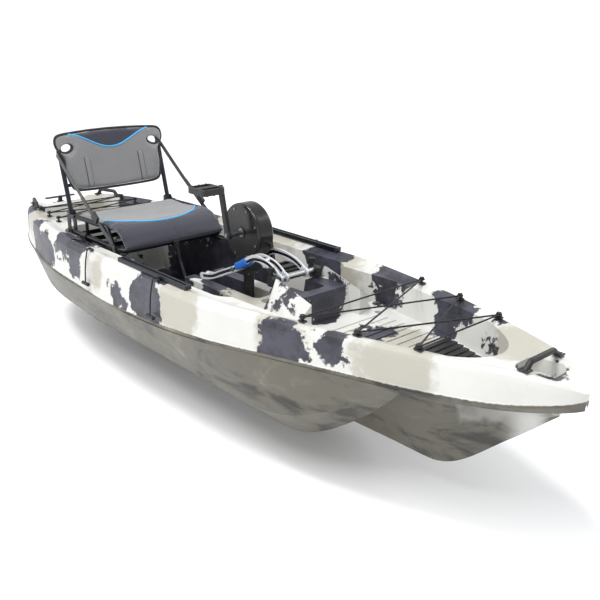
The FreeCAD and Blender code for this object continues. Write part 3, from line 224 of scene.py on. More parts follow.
def webbing(name, colour):
    """Ribbed strap webbing."""
    s = Shader(name)
    x, y, z = s.axes()
    ribs = s.waves(s.math("SUBTRACT", x, z), RIB)
    fuzz = s.noise(300.0, 2.0)
    s.set(Base_Color=s.partly(0.5, fuzz, colour, tinted(colour, 1.8, 0.01)), Roughness=0.8, Sheen_Weight=0.3)
    s.bump(s.math("ADD", ribs, fuzz), 0.4, 0.0005)
    return s.material


def braided(name, colour, fleck):
    """Shock cord: dark braid with pale flecks."""
    s = Shader(name)
    cells = s.add("ShaderNodeTexVoronoi", {"Vector": s.place, "Scale": 420.0}).outputs["Distance"]
    some = s.ramp(s.noise(160.0, 1.0), 0.56, 0.62)
    flecks = s.math("MULTIPLY", s.ramp(cells, 0.28, 0.2), some)
    s.set(Base_Color=s.mix(flecks, colour, fleck), Roughness=0.7)
    s.bump(cells, 0.6, 0.0006)
    return s.material


# ------------------------------------------------------------------ hull plastic
WHITE, PALE, BEIGE = rgb(216, 216, 213), rgb(190, 189, 183), rgb(172, 169, 158)
SLATE, SLATE_DARK = rgb(60, 61, 73), rgb(38, 38, 46)
OLIVE, OLIVE_DARK, OLIVE_PALE = rgb(92, 89, 78), rgb(42, 41, 37), rgb(132, 128, 115)

# Blotches of the moulded-in colour, as (x from midship, y, z, radius); three of the slate ones are painted
# shade on the cockpit floor under the seat.
SLATE_BLOTS_AND_SHADE = [
    (-1.52, -0.28, 0.46, 0.13), (-1.18, -0.37, 0.40, 0.10), (-1.02, -0.40, 0.34, 0.12),
    (-0.80, -0.36, 0.46, 0.11), (-0.64, -0.41, 0.42, 0.09), (-0.24, -0.44, 0.33, 0.05),
    (-0.03, -0.43, 0.38, 0.12), (0.05, -0.36, 0.46, 0.07), (0.72, -0.40, 0.40, 0.10),
    (0.90, -0.32, 0.42, 0.07), (1.45, 0.00, 0.46, 0.05), (0.44, 0.00, 0.42, 0.17),
    (0.20, 0.36, 0.45, 0.13), (0.62, 0.36, 0.46, 0.13), (0.95, 0.25, 0.46, 0.10),
    (-0.35, 0.42, 0.42, 0.16), (-0.90, 0.40, 0.40, 0.17), (-1.30, 0.30, 0.44, 0.14),
    # Painted shade: the three low, wide slate patches below darken the cockpit floor under the seat.
    (-0.10, 0.00, 0.20, 0.20), (-0.35, 0.10, 0.20, 0.30), (-0.65, 0.00, 0.22, 0.34),
    (0.75, 0.05, 0.35, 0.07), (-1.25, 0.00, 0.30, 0.12), (0.16, -0.25, 0.20, 0.16),
    (1.20, 0.22, 0.42, 0.07)]
BEIGE_BLOTS = [
    (-1.30, -0.30, 0.46, 0.12), (-0.42, -0.43, 0.40, 0.08), (0.20, -0.44, 0.40, 0.12),
    (0.70, -0.38, 0.42, 0.10), (1.10, -0.26, 0.44, 0.12), (1.30, 0.10, 0.46, 0.12),
    (0.30, 0.30, 0.40, 0.16), (0.85, 0.00, 0.35, 0.16), (-0.10, 0.42, 0.42, 0.12),
    (-0.70, 0.38, 0.45, 0.12), (0.10, -0.10, 0.36, 0.16), (1.10, -0.05, 0.36, 0.10),
    (-1.50, 0.10, 0.44, 0.12)]

HALF_HULL = 1.6                                        # reach of the two curves below, from midship
# Height of the line where the upper colours meet the lower hull's, at x from midship.
RUB_LINE = [(-1.6, 0.326), (-1.2, 0.302), (-0.6, 0.290), (-0.1, 0.290), (0.3, 0.326), (0.6, 0.349),
            (0.9, 0.366), (1.15, 0.370), (1.3, 0.378), (1.45, 0.391), (1.6, 0.416)]
# Half of the hull's width, at x from midship.
HALF_BEAM = [(-1.6, 0.196), (-1.5, 0.272), (-1.35, 0.325), (-1.15, 0.375), (-0.9, 0.418), (-0.5, 0.442),
             (0.0, 0.445), (0.3, 0.441), (0.6, 0.396), (0.876, 0.337), (1.154, 0.253), (1.39, 0.172),
             (1.5, 0.110), (1.56, 0.066), (1.6, 0.009)]


def along_hull(s, x, table):
    """The table's value at x from midship, as a smooth curve."""
    share = s.math("DIVIDE", s.math("ADD", x, HALF_HULL), 2 * HALF_HULL)
    curve = s.add("ShaderNodeFloatCurve", {"Value": share})
    points = curve.mapping.curves[0].points
    while len(points) < len(table):
        points.new(0.5, 0.5)
    for point, (at, value) in zip(points, table):
        point.location = ((at + HALF_HULL) / (2 * HALF_HULL), value)
    curve.mapping.update()
    return curve.outputs[0]


def wobbled(s, place, scale, detail, amount):
    """The place pushed about by noise, which breaks up the outlines of the blotches and of the painted
    shade.
    """
    push = s.vector("SUBTRACT", s.noise(scale, detail, 0.62, out="Color"), (0.5, 0.5, 0.5))
    scaled = s.add("ShaderNodeVectorMath", {0: push, "Scale": amount}, operation="SCALE").outputs[0]
    return s.vector("ADD", place, scaled)


def outside_patches(s, place, patches):
    """Distance from the nearest patch's edge, negative inside one; the slate patches include painted shade.
    """
    nearest = None
    for x, y, z, radius in patches:
        reach = s.add("ShaderNodeVectorMath", {0: place, 1: (x, y, z)}, operation="DISTANCE")
        edge = s.math("SUBTRACT", reach.outputs["Value"], radius)
        nearest = edge if nearest is None else s.math("MINIMUM", nearest, edge)
    return nearest


def upper_colour(s, from_mid, fine):
    """White with beige clouds, slate blotches and dark specks, and slate painted shade on the cockpit floor
    under the seat.
    """
    warped = wobbled(s, wobbled(s, from_mid, 7.0, 3.0, 0.26), 34.0, 5.0, 0.06)
    spray = s.centred(fine, 0.05)
    white = s.mix(s.noise(5.0, 4.0), PALE, WHITE)
    beige_edge = s.math("ADD", outside_patches(s, warped, BEIGE_BLOTS), spray)
    clouded = s.mix(s.ramp(beige_edge, 0.03, -0.03), white, BEIGE)
    slate = s.mix(s.ramp(s.noise(11.0, 5.0, 0.65), 0.4, 0.62), SLATE_DARK, SLATE)
    # Slate blotches, and slate painted shade on the cockpit floor under the seat.
    slate_edge = s.math("ADD", outside_patches(s, warped, SLATE_BLOTS_AND_SHADE), spray)
    blotched_and_shaded = s.mix(s.ramp(slate_edge, 0.006, -0.004), clouded, slate)
    specks = s.ramp(s.noise(230.0, 4.0, 0.75), 0.66, 0.7)
    return s.partly(0.35, specks, blotched_and_shaded, SLATE_DARK)


def lower_colour(s):
    """Smoky olive, drawn out along the hull."""
    smoke = s.noise(3.2, 6.0, 0.66, place=s.stretched((1.0, 1.0, 2.2)), distort=0.6)
    dark = s.mix(s.ramp(smoke, 0.36, 0.52), OLIVE_DARK, OLIVE)
    return s.partly(0.8, s.ramp(smoke, 0.56, 0.72), dark, OLIVE_PALE)


def below_rub_line(s, from_mid, fine):
    """1 on the lower sides and the bottom, 0 on the deck, in the wells and in the cockpit."""
    x, y, z = s.axes(from_mid)
    height = s.math("SUBTRACT", z, along_hull(s, x, RUB_LINE))
    below = s.ramp(s.math("ADD", height, s.centred(fine, 0.008)), 0.002, -0.002)
    inward = s.math("SUBTRACT", s.math("ABSOLUTE", y), along_hull(s, x, HALF_BEAM))
    outer_skin = s.ramp(inward, -0.075, -0.065)
    facing_down = s.ramp(s.axes(s.geometry("Normal"))[2], -0.15, -0.25)
    return s.math("MULTIPLY", below, s.math("MAXIMUM", outer_skin, facing_down), clamp=True)


def hull_plastic():
    """Marbled moulding: white with beige and slate blotches above the rub line, smoky olive below it. Slate
    painted shade lies on the cockpit floor under the seat, and the creases are darkened with painted shade.
    """
    s = Shader("hull_plastic")
    from_mid = s.vector("SUBTRACT", s.place, (MID_X, 0.0, 0.0))
    fine = s.noise(95.0, 6.0, 0.7)
    colour = s.mix(below_rub_line(s, from_mid, fine), upper_colour(s, from_mid, fine), lower_colour(s))
    scratch = s.noise(60.0, 2.0, 0.5, place=s.stretched((1.0, 16.0, 16.0)))
    colour = s.partly(0.18, s.ramp(scratch, 0.66, 0.72), colour, PALE)
    # Painted shade: concave creases are darkened towards dark slate.
    crease_shade = s.ramp(s.geometry("Pointiness"), 0.49, 0.44)
    s.set(Base_Color=s.partly(0.35, crease_shade, colour, SLATE_DARK))
    s.set(Roughness=s.wander(18.0, 4.0, 0.2, 0.3), Specular_IOR_Level=0.5)
    peel = s.bump(s.noise(160.0, 2.0), 0.12, 0.0012)
    s.bump(scratch, 0.05, 0.0006, peel)
    return s.material


# ------------------------------------------------------------------ mesh helpers
def link(name, mesh, material=None, smooth=True):
    """Puts a mesh in the scene as a named object."""
    obj = bpy.data.objects.new(name, mesh)
    bpy.context.scene.collection.objects.link(obj)
    if material:
        mesh.materials.append(material)
    mesh.polygons.foreach_set("use_smooth", [smooth] * len(mesh.polygons))
    return obj


def from_bmesh(name, bm, material=None):
    """Turns a finished bmesh into a named object."""
    bmesh.ops.recalc_face_normals(bm, faces=bm.faces)
    mesh = bpy.data.meshes.new(name)
    bm.to_mesh(mesh)
    bm.free()
    return link(name, mesh, material)


def modifier(obj, kind, **settings):
    added = obj.modifiers.new(kind.lower(), kind)
    for key, value in settings.items():
        setattr(added, key, value)
    return added


def apply_modifiers(obj):
    """Bakes the object's modifiers into its mesh."""
    graph = bpy.context.evaluated_depsgraph_get()
    baked = bpy.data.meshes.new_from_object(obj.evaluated_get(graph), depsgraph=graph)
    obj.modifiers.clear()
    old = obj.data
    obj.data = baked
    bpy.data.meshes.remove(old)
    return obj


def rides(piece, body):
    """Makes a piece move with a body."""
    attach(piece, body)


def smooth_points(points, steps):
    """Open Catmull-Rom curve through the points."""
    points = [Vector(point) for point in points]
    last = len(points) - 1
    curve = []
    for i in range(last):
        a, b, c, d = points[max(i - 1, 0)], points[i], points[i + 1], points[min(i + 2, last)]
        for k in range(steps):
            t = k / steps
            bend = (2 * a - 5 * b + 4 * c - d) * t * t + (3 * b - a - 3 * c + d) * t ** 3
            curve.append(0.5 * (2 * b + (c - a) * t + bend))
    curve.append(points[-1].copy())
    return curve


def spokes(count):
    """Cosine and sine of evenly spaced angles round a circle."""
    return [(math.cos(math.tau * k / count), math.sin(math.tau * k / count)) for k in range(count)]


def round_section(radius, sides=10):
    return [(radius * c, radius * s) for c, s in spokes(sides)]


def strap_section(half_width, half_thick, sides=16):
    """A flat oblong with rounded corners."""
    squareness = 0.45
    section = []
    for c, s in spokes(sides):
        u = half_width * math.copysign(abs(c) ** squareness, c)
        section.append((u, half_thick * math.copysign(abs(s) ** squareness, s)))
    return section


def sweep(name, path, section, material, closed=False, face=None):
    """Carries a section along a path. A strap's flat side looks along face; a round section needs none."""
    path = [Vector(point) for point in path]
    last = len(path) - 1
    bm = bmesh.new()
    rings = []
    up = None
    for i, point in enumerate(path):
        ahead = path[(i + 1) % len(path)] if closed or i < last else point
        behind = path[i - 1] if closed or i > 0 else point
        along = (ahead - behind).normalized()
        if face:
            up = Vector(face)
        elif up is None:
            up = along.orthogonal().normalized()
        up = (up - along * up.dot(along)).normalized()
        wide, thick = (along.cross(up), up) if face else (up, along.cross(up))
        rings.append([bm.verts.new(point + wide * u + thick * v) for u, v in section])
    for ring, following in zip(rings, rings[1:] + rings[:1] if closed else rings[1:]):
        for k in range(len(section)):
            after = (k + 1) % len(section)
            bm.faces.new((ring[k], ring[after], following[after], following[k]))
    if not closed:
        bm.faces.new(rings[0][::-1])
        bm.faces.new(rings[-1])
    return from_bmesh(name, bm, material)


def soften(node, material, width=0.0012, segments=2, angle=35):
    """Gives a kept CAD node its material and rounds its edges."""
    obj = NODES[node]
    obj.data.materials.clear()
    obj.data.materials.append(material)
    modifier(obj, "WELD", merge_threshold=1e-5)
    modifier(obj, "BEVEL", width=width, segments=segments, limit_method="ANGLE",
             angle_limit=math.radians(angle), harden_normals=False)
    modifier(obj, "WEIGHTED_NORMAL", keep_sharp=True)


# ------------------------------------------------------------------ finishes of the kept CAD nodes
BLACK = grained("black_plastic", rgb(26, 26, 28), rough=0.5)
BLACK_GLOSS = grained("black_gloss", rgb(11, 11, 14), rough=0.22, grain=0.05)
SEMI_BLACK = grained("black_paint", rgb(34, 35, 38), rough=0.4, metallic=0.3)
ANODISED = brushed("anodised_dark", rgb(58, 60, 66), rough=0.35)
ALUMINIUM = brushed("satin_aluminium", rgb(190, 192, 194), rough=0.32)
# Painted highlight: light silver on the drive arms, which the black channels leave showing only along their
# edges.
BAR_SILVER_HIGHLIGHT = grained("bar_silver_highlight", rgb(190, 192, 196), rough=0.35, grain=0.1, metallic=0.25)
STEEL = brushed("steel", rgb(150, 152, 155))
CORD = braided("shock_cord", rgb(18, 18, 20), rgb(150, 150, 150))
STRAP = webbing("strap_web", rgb(30, 30, 33))
FOAM = grained("deck_foam", rgb(62, 62, 68), rough=0.9, grain=0.6)
RUBBER = grained("rubber", rgb(20, 20, 20), rough=0.8, grain=0.4)
BLUE = grained("grip_blue", rgb(30, 104, 200), rough=0.4, vary=0.18)
GREY_CLOTH = woven("seat_grey", rgb(134, 134, 136))
DARK_CLOTH = woven("seat_dark", rgb(52, 53, 66))
DARK_HEM = woven("hem_black", rgb(28, 28, 32))
PIPING = grained("piping_blue", rgb(58, 167, 224), rough=0.5)

FINISHES = {
    BLACK: ["bow_handle", "stern_handles", "end_caps", "cord_hooks", "cord_toggles", "rod_holders",
            "slatted_mat", "drive_saddles", "rudder_bracket", "lever_base", "drain_plug", "seat_brackets",
            "strap_clasps", "strap_buckles", "clamp_knob_starboard", "clamp_knob_port", "drive_leg",
            "gearcase", "pedal_starboard", "pedal_port", "propeller", "propeller_nut", "rudder_head",
            "rudder_tiller", "rudder_blade", "steering_lever", "seat_feet"],
    BLACK_GLOSS: ["housing_starboard", "housing_port"],
    SEMI_BLACK: ["crank_arm_starboard", "crank_arm_port"],
    ANODISED: ["gear_rails", "seat_tracks", "seat_base_frame", "back_frame", "seat_prop_leg"],
    BAR_SILVER_HIGHLIGHT: ["drive_arms"],
    ALUMINIUM: ["cross_tube"],
    STEEL: ["deck_screws", "hinge_pins", "frame_bolt", "drive_bearings", "drive_bolts", "crank_axle",
            "crank_gear", "crank_bolts", "pedal_spindles", "upright_shaft", "propeller_shaft",
            "rudder_pins"],
    CORD: ["deck_bungees", "paddle_cords"],
    STRAP: ["seat_straps"],
    FOAM: ["floor_pads"],
    RUBBER: ["seat_leg_foot"],
    BLUE: ["lift_grip"],
    GREY_CLOTH: ["seat_cushion", "back_cushion"],
}


def finish_cad_nodes():
    for material, names in FINISHES.items():
        for name in names:
            soften(name, material)
    soften("hull", hull_plastic(), width=0.003, segments=3, angle=25)


# ------------------------------------------------------------------ padding
PAD_VOXEL = 0.005
PAD_PRESSURE = 4.0
PAD_FRAMES = 20


def puff(obj, cap):
    """Swells a closed form as padding under cloth, with each point held within cap of where it began."""
    start = [vert.co.copy() for vert in obj.data.vertices]
    cloth = modifier(obj, "CLOTH")
    cloth.settings.quality = 5
    cloth.settings.use_pressure = True
    cloth.settings.uniform_pressure_force = PAD_PRESSURE
    cloth.settings.effector_weights.gravity = 0.0
    for step in range(1, PAD_FRAMES + 1):
        bpy.context.scene.frame_set(step)
    apply_modifiers(obj)
    bpy.context.scene.frame_set(1)
    for vert, was in zip(obj.data.vertices, start):
        moved = vert.co - was
        if moved.length > cap:
            vert.co = was + moved.normalized() * cap


def stuffed(name, bm, cap):
    """Padded piece from a closed form: remeshed, swollen by up to cap, and smoothed."""
    obj = from_bmesh(name, bm)
    modifier(obj, "REMESH", mode="VOXEL", voxel_size=PAD_VOXEL)
    modifier(obj, "SMOOTH", factor=0.5, iterations=3)
    apply_modifiers(obj)
    puff(obj, cap)
    modifier(obj, "SMOOTH", factor=0.5, iterations=2)
    modifier(obj, "SUBSURF", levels=1, render_levels=1)
    return apply_modifiers(obj)


def two_tone(obj, is_dark):
    """Sews the padding from grey cloth, with dark cloth where is_dark(centre) says."""
    obj.data.materials.clear()
    obj.data.materials.append(GREY_CLOTH)
    obj.data.materials.append(DARK_CLOTH)
    for face in obj.data.polygons:
        face.material_index = int(is_dark(face.center))
        face.use_smooth = True


def drape(obj, points, direction, lift):
    """Points dropped onto the object's surface along a direction."""
    tree = BVHTree.FromObject(obj, bpy.context.evaluated_depsgraph_get())
    down = Vector(direction).normalized()
    start_above = 0.15
    landed = []
    for point in points:
        hit, normal, _, _ = tree.ray_cast(Vector(point) - down * start_above, down)
        if hit:
            landed.append(hit + normal * lift)
    return landed


# ------------------------------------------------------------------ backrest
BACK_LEAN = math.radians(14)                           # of the backrest, aft of upright
UP = Vector((-math.sin(BACK_LEAN), 0.0, math.cos(BACK_LEAN)))
AHEAD = Vector((math.cos(BACK_LEAN), 0.0, math.sin(BACK_LEAN)))
# Port half of the panel's outline, as (y, height along the back from the hinge).
BACK_SIDE = [(0.0, 0.096), (0.15, 0.098), (0.222, 0.104), (0.246, 0.130), (0.262, 0.200), (0.262, 0.250),
             (0.278, 0.290), (0.290, 0.318), (0.288, 0.348), (0.268, 0.366), (0.20, 0.374), (0.10, 0.380)]
BACK_TOP = 0.382
BACK_HALF_THICK, BACK_SWELL = 0.012, 0.007
BACK_PROUD, BACK_DISH, POST_Y = 0.010, 0.016, 0.25     # ahead of the hinge plane; hollow between the posts
BAND_Y, BAND_LOW, BAND_RISE = 0.236, 0.292, 0.076      # the dark top band: half width, lowest edge, rise
GRIP_Y, GRIP_UP, GRIP_LEAN = 0.240, 0.306, 0.25        # the two grip holes
GRIP_HALF_WIDE, GRIP_HALF_HIGH, GRIP_RIM = 0.034, 0.023, 0.001
PLEAT_Y, PLEAT_LOW, PLEAT_LONG = 0.148, 0.112, 0.138
SEAM_OFFSET, SEAM_LOW, SEAM_LONG = 0.0135, 0.108, 0.146


def back_place(y, along, ahead=0.0):
    """Point on the leaning back, dished a little between its posts."""
    dish = BACK_DISH * max(0.0, 1.0 - (y / POST_Y) ** 2)
    return RECLINE + UP * along + AHEAD * (ahead + BACK_PROUD - dish) + ACROSS * y


def grip_outline(side, grow, count):
    """Leaning oval round a grip hole, as (y, height along the back)."""
    lean = -GRIP_LEAN * side
    outline = []
    for c, s in spokes(count):
        u, v = (GRIP_HALF_WIDE + grow) * c, (GRIP_HALF_HIGH + grow) * s
        outline.append((GRIP_Y * side + u * math.cos(lean) - v * math.sin(lean),
                        GRIP_UP + u * math.sin(lean) + v * math.cos(lean)))
    return outline


def band_edge(y):
    """Height of the backrest's upper piping: low in the middle, rising in a wave to the top edge."""
    return BAND_LOW + BAND_RISE * (1 - math.cos(math.pi * min(abs(y) / BAND_Y, 1.0))) / 2


def back_outline():
    """The panel's whole outline, as (y, height along the back)."""
    half = smooth_points([(y, along, 0) for y, along in BACK_SIDE], 4)
    port = [(point.x, point.y) for point in half]
    starboard = [(-y, along) for y, along in reversed(port[1:])]
    return port + [(0.0, BACK_TOP)] + starboard


def back_panel(outline):
    """Padded panel with its two grip holes."""
    bm = bmesh.new()
    edges = []
    for loop in [outline] + [grip_outline(side, 0.0, 24) for side, _ in SIDES]:
        verts = [bm.verts.new((y, along, 0.0)) for y, along in loop]
        edges += [bm.edges.new(pair) for pair in zip(verts, verts[1:] + verts[:1])]
    bmesh.ops.triangle_fill(bm, use_beauty=True, use_dissolve=False, edges=edges)
    sheet = bmesh.ops.extrude_face_region(bm, geom=list(bm.faces))
    for item in sheet["geom"]:
        if isinstance(item, bmesh.types.BMVert):
            item.co.z = 2 * BACK_HALF_THICK
    for vert in bm.verts:
        vert.co = back_place(vert.co.x, vert.co.y, vert.co.z - BACK_HALF_THICK)
    panel = stuffed("backrest_panel", bm, BACK_SWELL)
    two_tone(panel, lambda at: (at - RECLINE).dot(UP) > band_edge(at.y) and abs(at.y) < BAND_Y)
    rides(panel, "backrest")
    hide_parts("back_cushion")
    return panel


def up_the_back(panel, y, low, long, steps, lift):
    """Straight line up the panel's front, lying on its surface."""
    line = [back_place(y, low + long * k / steps) for k in range(steps + 1)]
    return drape(panel, line, -AHEAD, lift)


def back_trim(panel, outline):
    """Blue piping under the dark band, bound grip holes, two stitched pleats and the hem."""
    wave = [-BAND_Y + 2 * BAND_Y * k / 48 for k in range(49)]
    line = drape(panel, [back_place(y, band_edge(y)) for y in wave], -AHEAD, 0.001)
    rides(sweep("backrest_piping", line, round_section(0.0036), PIPING), "backrest")
    for side, tag in SIDES:
        rim = [back_place(y, along) for y, along in grip_outline(side, GRIP_RIM, 28)]
        binding = sweep(f"backrest_grip_binding_{tag}", rim, round_section(0.0075), DARK_HEM, closed=True)
        rides(binding, "backrest")
        fold = up_the_back(panel, PLEAT_Y * side, PLEAT_LOW, PLEAT_LONG, 16, 0.001)
        pleat = sweep(f"backrest_pleat_{tag}", fold, strap_section(0.012, 0.0045), GREY_CLOTH, face=AHEAD)
        rides(pleat, "backrest")
        for offset, end in ((-SEAM_OFFSET, "a"), (SEAM_OFFSET, "b")):
            seam = up_the_back(panel, PLEAT_Y * side + offset, SEAM_LOW, SEAM_LONG, 20, 0.0006)
            stitch = sweep(f"backrest_seam_{tag}_{end}", seam, round_section(0.0014, 6), DARK_HEM)
            rides(stitch, "backrest")
    edge = [back_place(y, along) for y, along in outline]
    hem = sweep("backrest_hem", edge, round_section(0.0062), DARK_HEM, closed=True)
    rides(hem, "backrest")


def backrest():
    outline = back_outline()
    back_trim(back_panel(outline), outline)


# ------------------------------------------------------------------ seat base
# Side view of the sling, as (ahead of its rear, above its top): flat, then a slope down over the front bar.
SLING_SIDE = [(0.0, -0.012), (0.12, -0.016), (0.24, -0.008), (0.335, 0.000), (0.375, -0.012),
              (0.415, -0.045), (0.452, -0.092)]
SLING_HALF_THICK, SLING_SWELL, SLING_OVERHANG = 0.011, 0.008, 0.016
SLING_DOWN, SLING_SAG, SLING_RAIL_Y = 0.012, 0.012, 0.25
SLING_CELLS_WIDE, SLING_CELLS_LONG = 36, 40
ARC_FRONT, ARC_SWEEP = 0.66, 0.34                      # the grey top's front edge, as t along the sling
HEM_Y = 0.262                                          # outside this the sling's sides are dark


def sling_profile(t):
    """x and z of the sling, with t from 0 at its rear to 1 at the front bar."""
    at = t * (len(SLING_SIDE) - 1)
    i = min(int(at), len(SLING_SIDE) - 2)
    share = at - i
    (x1, z1), (x2, z2) = SLING_SIDE[i], SLING_SIDE[i + 1]
    return SEAT_LOW.x + x1 * (1 - share) + x2 * share, SEAT_HIGH.z + z1 * (1 - share) + z2 * share


def sling_place(y, t, thick):
    """Point on the sling: across y, t from rear to front, thick through the padding."""
    x, z = sling_profile(t)
    step = 0.02
    x1, z1 = sling_profile(max(t - step, 0.0))
    x2, z2 = sling_profile(min(t + step, 1.0))
    along = Vector((x2 - x1, 0, z2 - z1)).normalized()
    normal = Vector((-along.z, 0, along.x))
    sag = SLING_SAG * max(0.0, 1 - (y / SLING_RAIL_Y) ** 2) * math.sin(math.pi * min(t / 0.75, 1.0))
    return Vector((x, y, z - sag)) + normal * (thick - SLING_DOWN)


def arc_edge(y):
    """How far forward the grey top reaches at y, as t along the sling."""
    return ARC_FRONT - ARC_SWEEP * (y / SLING_RAIL_Y) ** 2


def sling_form():
    """Closed sheet of even thickness that follows the sling's side view."""
    half_y = (SEAT_HIGH.y - SEAT_LOW.y) / 2 + SLING_OVERHANG
    wide, long = SLING_CELLS_WIDE, SLING_CELLS_LONG
    bm = bmesh.new()
    layers = []
    for thick in (-SLING_HALF_THICK, SLING_HALF_THICK):
        columns = []
        for i in range(wide + 1):
            y = -half_y + 2 * half_y * i / wide
            columns.append([bm.verts.new(sling_place(y, j / long, thick)) for j in range(long + 1)])
        layers.append(columns)
    low, high = layers
    for i in range(wide):
        for j in range(long):
            bm.faces.new((high[i][j], high[i + 1][j], high[i + 1][j + 1], high[i][j + 1]))
            bm.faces.new((low[i][j], low[i][j + 1], low[i + 1][j + 1], low[i + 1][j]))
    rim = [(i, 0) for i in range(wide)] + [(wide, j) for j in range(long)]
    rim += [(i, long) for i in range(wide, 0, -1)] + [(0, j) for j in range(long, 0, -1)]
    for (i, j), (k, m) in zip(rim, rim[1:] + rim[:1]):
        bm.faces.new((low[i][j], low[k][m], high[k][m], high[i][j]))
    return bm


def seat_base():
    """Padded sling with a grey top, a dark front and blue piping on the arc between them."""
    sling = stuffed("seat_sling", sling_form(), SLING_SWELL)

    def is_dark(at):
        y = max(-SLING_RAIL_Y, min(SLING_RAIL_Y, at.y))
        return at.x > sling_profile(arc_edge(y))[0] or abs(at.y) > HEM_Y

    two_tone(sling, is_dark)
    rides(sling, "seat")
    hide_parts("seat_cushion")
    across = [-SLING_RAIL_Y + 2 * SLING_RAIL_Y * k / 48 for k in range(49)]
    arc = drape(sling, [sling_place(y, arc_edge(y), 0.0) for y in across], (0, 0, -1), 0.001)
    rides(sweep("seat_piping", arc, round_section(0.0036), PIPING), "seat")


# ------------------------------------------------------------------ straps
STRAP_Y, STRAP_TOP, STRAP_FOOT_X, STRAP_FOOT_UP = 0.288, 0.282, -0.530, 0.034
STRAP_DROOP = 0.010
STRAP_STEPS = 40
TAIL_FROM, TAIL_TO, TAIL_GAP = 18, 30, 0.0032          # steps between which the loose tail lies on the strap
ANCHOR_DROP = [(0.0, 0.002), (0.0, -0.016), (0.004, -0.032)]  # of the loop round the base, as (inward, up)


def side_strap(side, tag):
    """Webbing from a backrest post to the front of the base."""
    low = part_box("seat_straps")[0][2]
    top = RECLINE + UP * STRAP_TOP + ACROSS * side * STRAP_Y
    foot = Vector((MID_X + STRAP_FOOT_X, side * STRAP_Y, low + STRAP_FOOT_UP))
    path = []
    for k in range(STRAP_STEPS + 1):
        droop = -STRAP_DROOP * math.sin(math.pi * k / STRAP_STEPS)
        path.append(top.lerp(foot, k / STRAP_STEPS) + Vector((0, 0, droop)))
    tail_path = [point + ACROSS * side * TAIL_GAP for point in path[TAIL_FROM:TAIL_TO]]
    strap = sweep(f"side_strap_{tag}", path, strap_section(0.0125, 0.0012), STRAP, face=ACROSS)
    tail = sweep(f"strap_tail_{tag}", tail_path, strap_section(0.0115, 0.0011), STRAP, face=ACROSS)
    for piece in (strap, tail):
        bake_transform(piece)
    drop = smooth_points([foot + Vector((0, -side * inward, up)) for inward, up in ANCHOR_DROP], 5)
    anchor = sweep(f"strap_anchor_{tag}", drop, strap_section(0.0125, 0.0016), STRAP, face=ACROSS)
    rides(anchor, "seat")
    return strap


def straps():
    starboard = side_strap(-1, "starboard")
    side_strap(1, "port")
    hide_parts("seat_straps")


# ------------------------------------------------------------------ drive bars
# Middle lines of the curved bars and of the grip, as (ahead of the cross tube, above it).
STARBOARD_BAR = [(-0.018, 0.020), (-0.055, 0.041), (-0.100, 0.049), (-0.150, 0.044), (-0.193, 0.024),
                 (-0.235, 0.0), (-0.290, -0.030), (-0.365, -0.063), (-0.435, -0.095), (-0.500, -0.109)]
PORT_BAR = [(-0.018, 0.018), (-0.060, 0.036), (-0.115, 0.045), (-0.193, 0.042), (-0.245, 0.010),
            (-0.282, -0.022)]
GRIP_HOLD = [(-0.200, 0.024), (-0.235, 0.003), (-0.270, -0.015)]
CHANNELS = (("outer", STARBOARD_BAR, -0.0805), ("inner", STARBOARD_BAR, -0.0505), ("port", PORT_BAR, 0.0505))
GRIP_SLEEVE_Y = -0.0655


def beside_bar(line, y):
    """Smooth path along a bar's middle line at y."""
    return smooth_points([(PIVOT.x + ahead, y, PIVOT.z + up) for ahead, up in line], 6)


def bar_inlays():
    """Black channel sunk along the bars' sides, which leaves only their edges showing the silver painted
    highlight.
    """
    section = strap_section(0.0070, 0.0041, 20)
    for tag, line, y in CHANNELS:
        strip = sweep(f"bar_channel_{tag}", beside_bar(line, y), section, BLACK_GLOSS, face=ACROSS)
        rides(strip, "drive")


def grip_sleeve():
    """Blue moulded sleeve over the lifting grip, wrapped round both starboard bars."""
    section = strap_section(0.0165, 0.0235, 28)
    sleeve = sweep("grip_sleeve", beside_bar(GRIP_HOLD, GRIP_SLEEVE_Y), section, BLUE, face=ACROSS)
    modifier(sleeve, "BEVEL", width=0.003, segments=2, limit_method="ANGLE", angle_limit=math.radians(40))
    rides(sleeve, "drive")


# ------------------------------------------------------------------ stage
FLOOR_HALF, FLOOR_GAP = 30.0, 0.001
AIM = (MID_X, 0, 0.3)
AMBIENT, BACKDROP = 0.85, 1.1                          # the sky's strength as light, and as seen
CAMERA_AT = (MID_X + 2.517, -1.920, 1.421)
CAMERA_YAW, CAMERA_PITCH, CAMERA_ROLL = math.radians(137.88), math.radians(-19.85), 0.008
CAMERA_LENS, CAMERA_SENSOR = 46.9, 36.0


def stage_floor():
    z = CAD_BOX[0][2] - FLOOR_GAP
    corners = [(x * FLOOR_HALF, y * FLOOR_HALF, z) for x, y in ((-1, -1), (1, -1), (1, 1), (-1, 1))]
    mesh = bpy.data.meshes.new("floor")
    mesh.from_pydata(corners, [], [(0, 1, 2, 3)])
    s = Shader("floor_white")
    s.set(Base_Color=(0.95, 0.95, 0.95, 1.0), Roughness=0.85)
    link("floor", mesh, s.material, smooth=False)


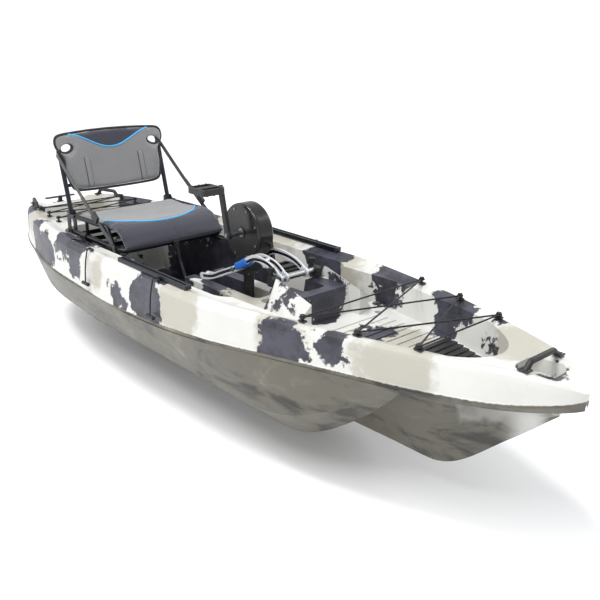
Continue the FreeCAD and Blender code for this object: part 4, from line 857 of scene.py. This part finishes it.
def stage_world():
    """Pale sky that lights softly and looks white behind the object."""
    world = bpy.data.worlds.new("studio")
    world.use_nodes = True
    tree = world.node_tree
    sky = tree.nodes["Background"]
    sky.inputs[0].default_value = (0.97, 0.98, 1.0, 1.0)
    seen = tree.nodes.new("ShaderNodeLightPath").outputs["Is Camera Ray"]
    strength = tree.nodes.new("ShaderNodeMapRange")
    strength.inputs["To Min"].default_value = AMBIENT
    strength.inputs["To Max"].default_value = BACKDROP
    tree.links.new(seen, strength.inputs["Value"])
    tree.links.new(strength.outputs["Result"], sky.inputs[1])
    bpy.context.scene.world = world


def add_object(name, data, place=(0, 0, 0)):
    obj = bpy.data.objects.new(name, data)
    obj.location = place
    bpy.context.scene.collection.objects.link(obj)
    return obj


def area_light(name, place, size, power):
    lamp = bpy.data.lights.new(name, "AREA")
    lamp.energy = power
    lamp.size = size
    obj = add_object(name, lamp, place)
    obj.rotation_euler = (Vector(AIM) - Vector(place)).to_track_quat("-Z", "Y").to_euler()


def studio():
    stage_floor()
    stage_world()
    area_light("key", (MID_X + 1.0, -2.5, 4.5), 2.5, 120)
    area_light("fill", (MID_X - 3.5, -2.5, 2.5), 3.0, 30)
    area_light("rim", (MID_X + 1.5, 4.0, 3.0), 2.5, 60)
    sun = bpy.data.lights.new("sun", "SUN")
    sun.energy = 1.3
    sun.angle = math.radians(12)
    add_object("sun", sun).rotation_euler = Vector((0.25, 0.3, -1.0)).to_track_quat("-Z", "Y").to_euler()
    bpy.context.scene.view_settings.view_transform = "Standard"


def camera():
    lens = bpy.data.cameras.new("camera")
    lens.lens = CAMERA_LENS
    lens.sensor_width = CAMERA_SENSOR
    obj = add_object("camera", lens, CAMERA_AT)
    level = math.cos(CAMERA_PITCH)
    heading = Vector((math.cos(CAMERA_YAW) * level, math.sin(CAMERA_YAW) * level, math.sin(CAMERA_PITCH)))
    turn = heading.to_track_quat("-Z", "Y").to_matrix() @ Matrix.Rotation(CAMERA_ROLL, 3, "Z")
    obj.rotation_euler = turn.to_euler()
    bpy.context.scene.camera = obj


finish_cad_nodes()
backrest()
seat_base()
straps()
bar_inlays()
grip_sleeve()
studio()
camera()
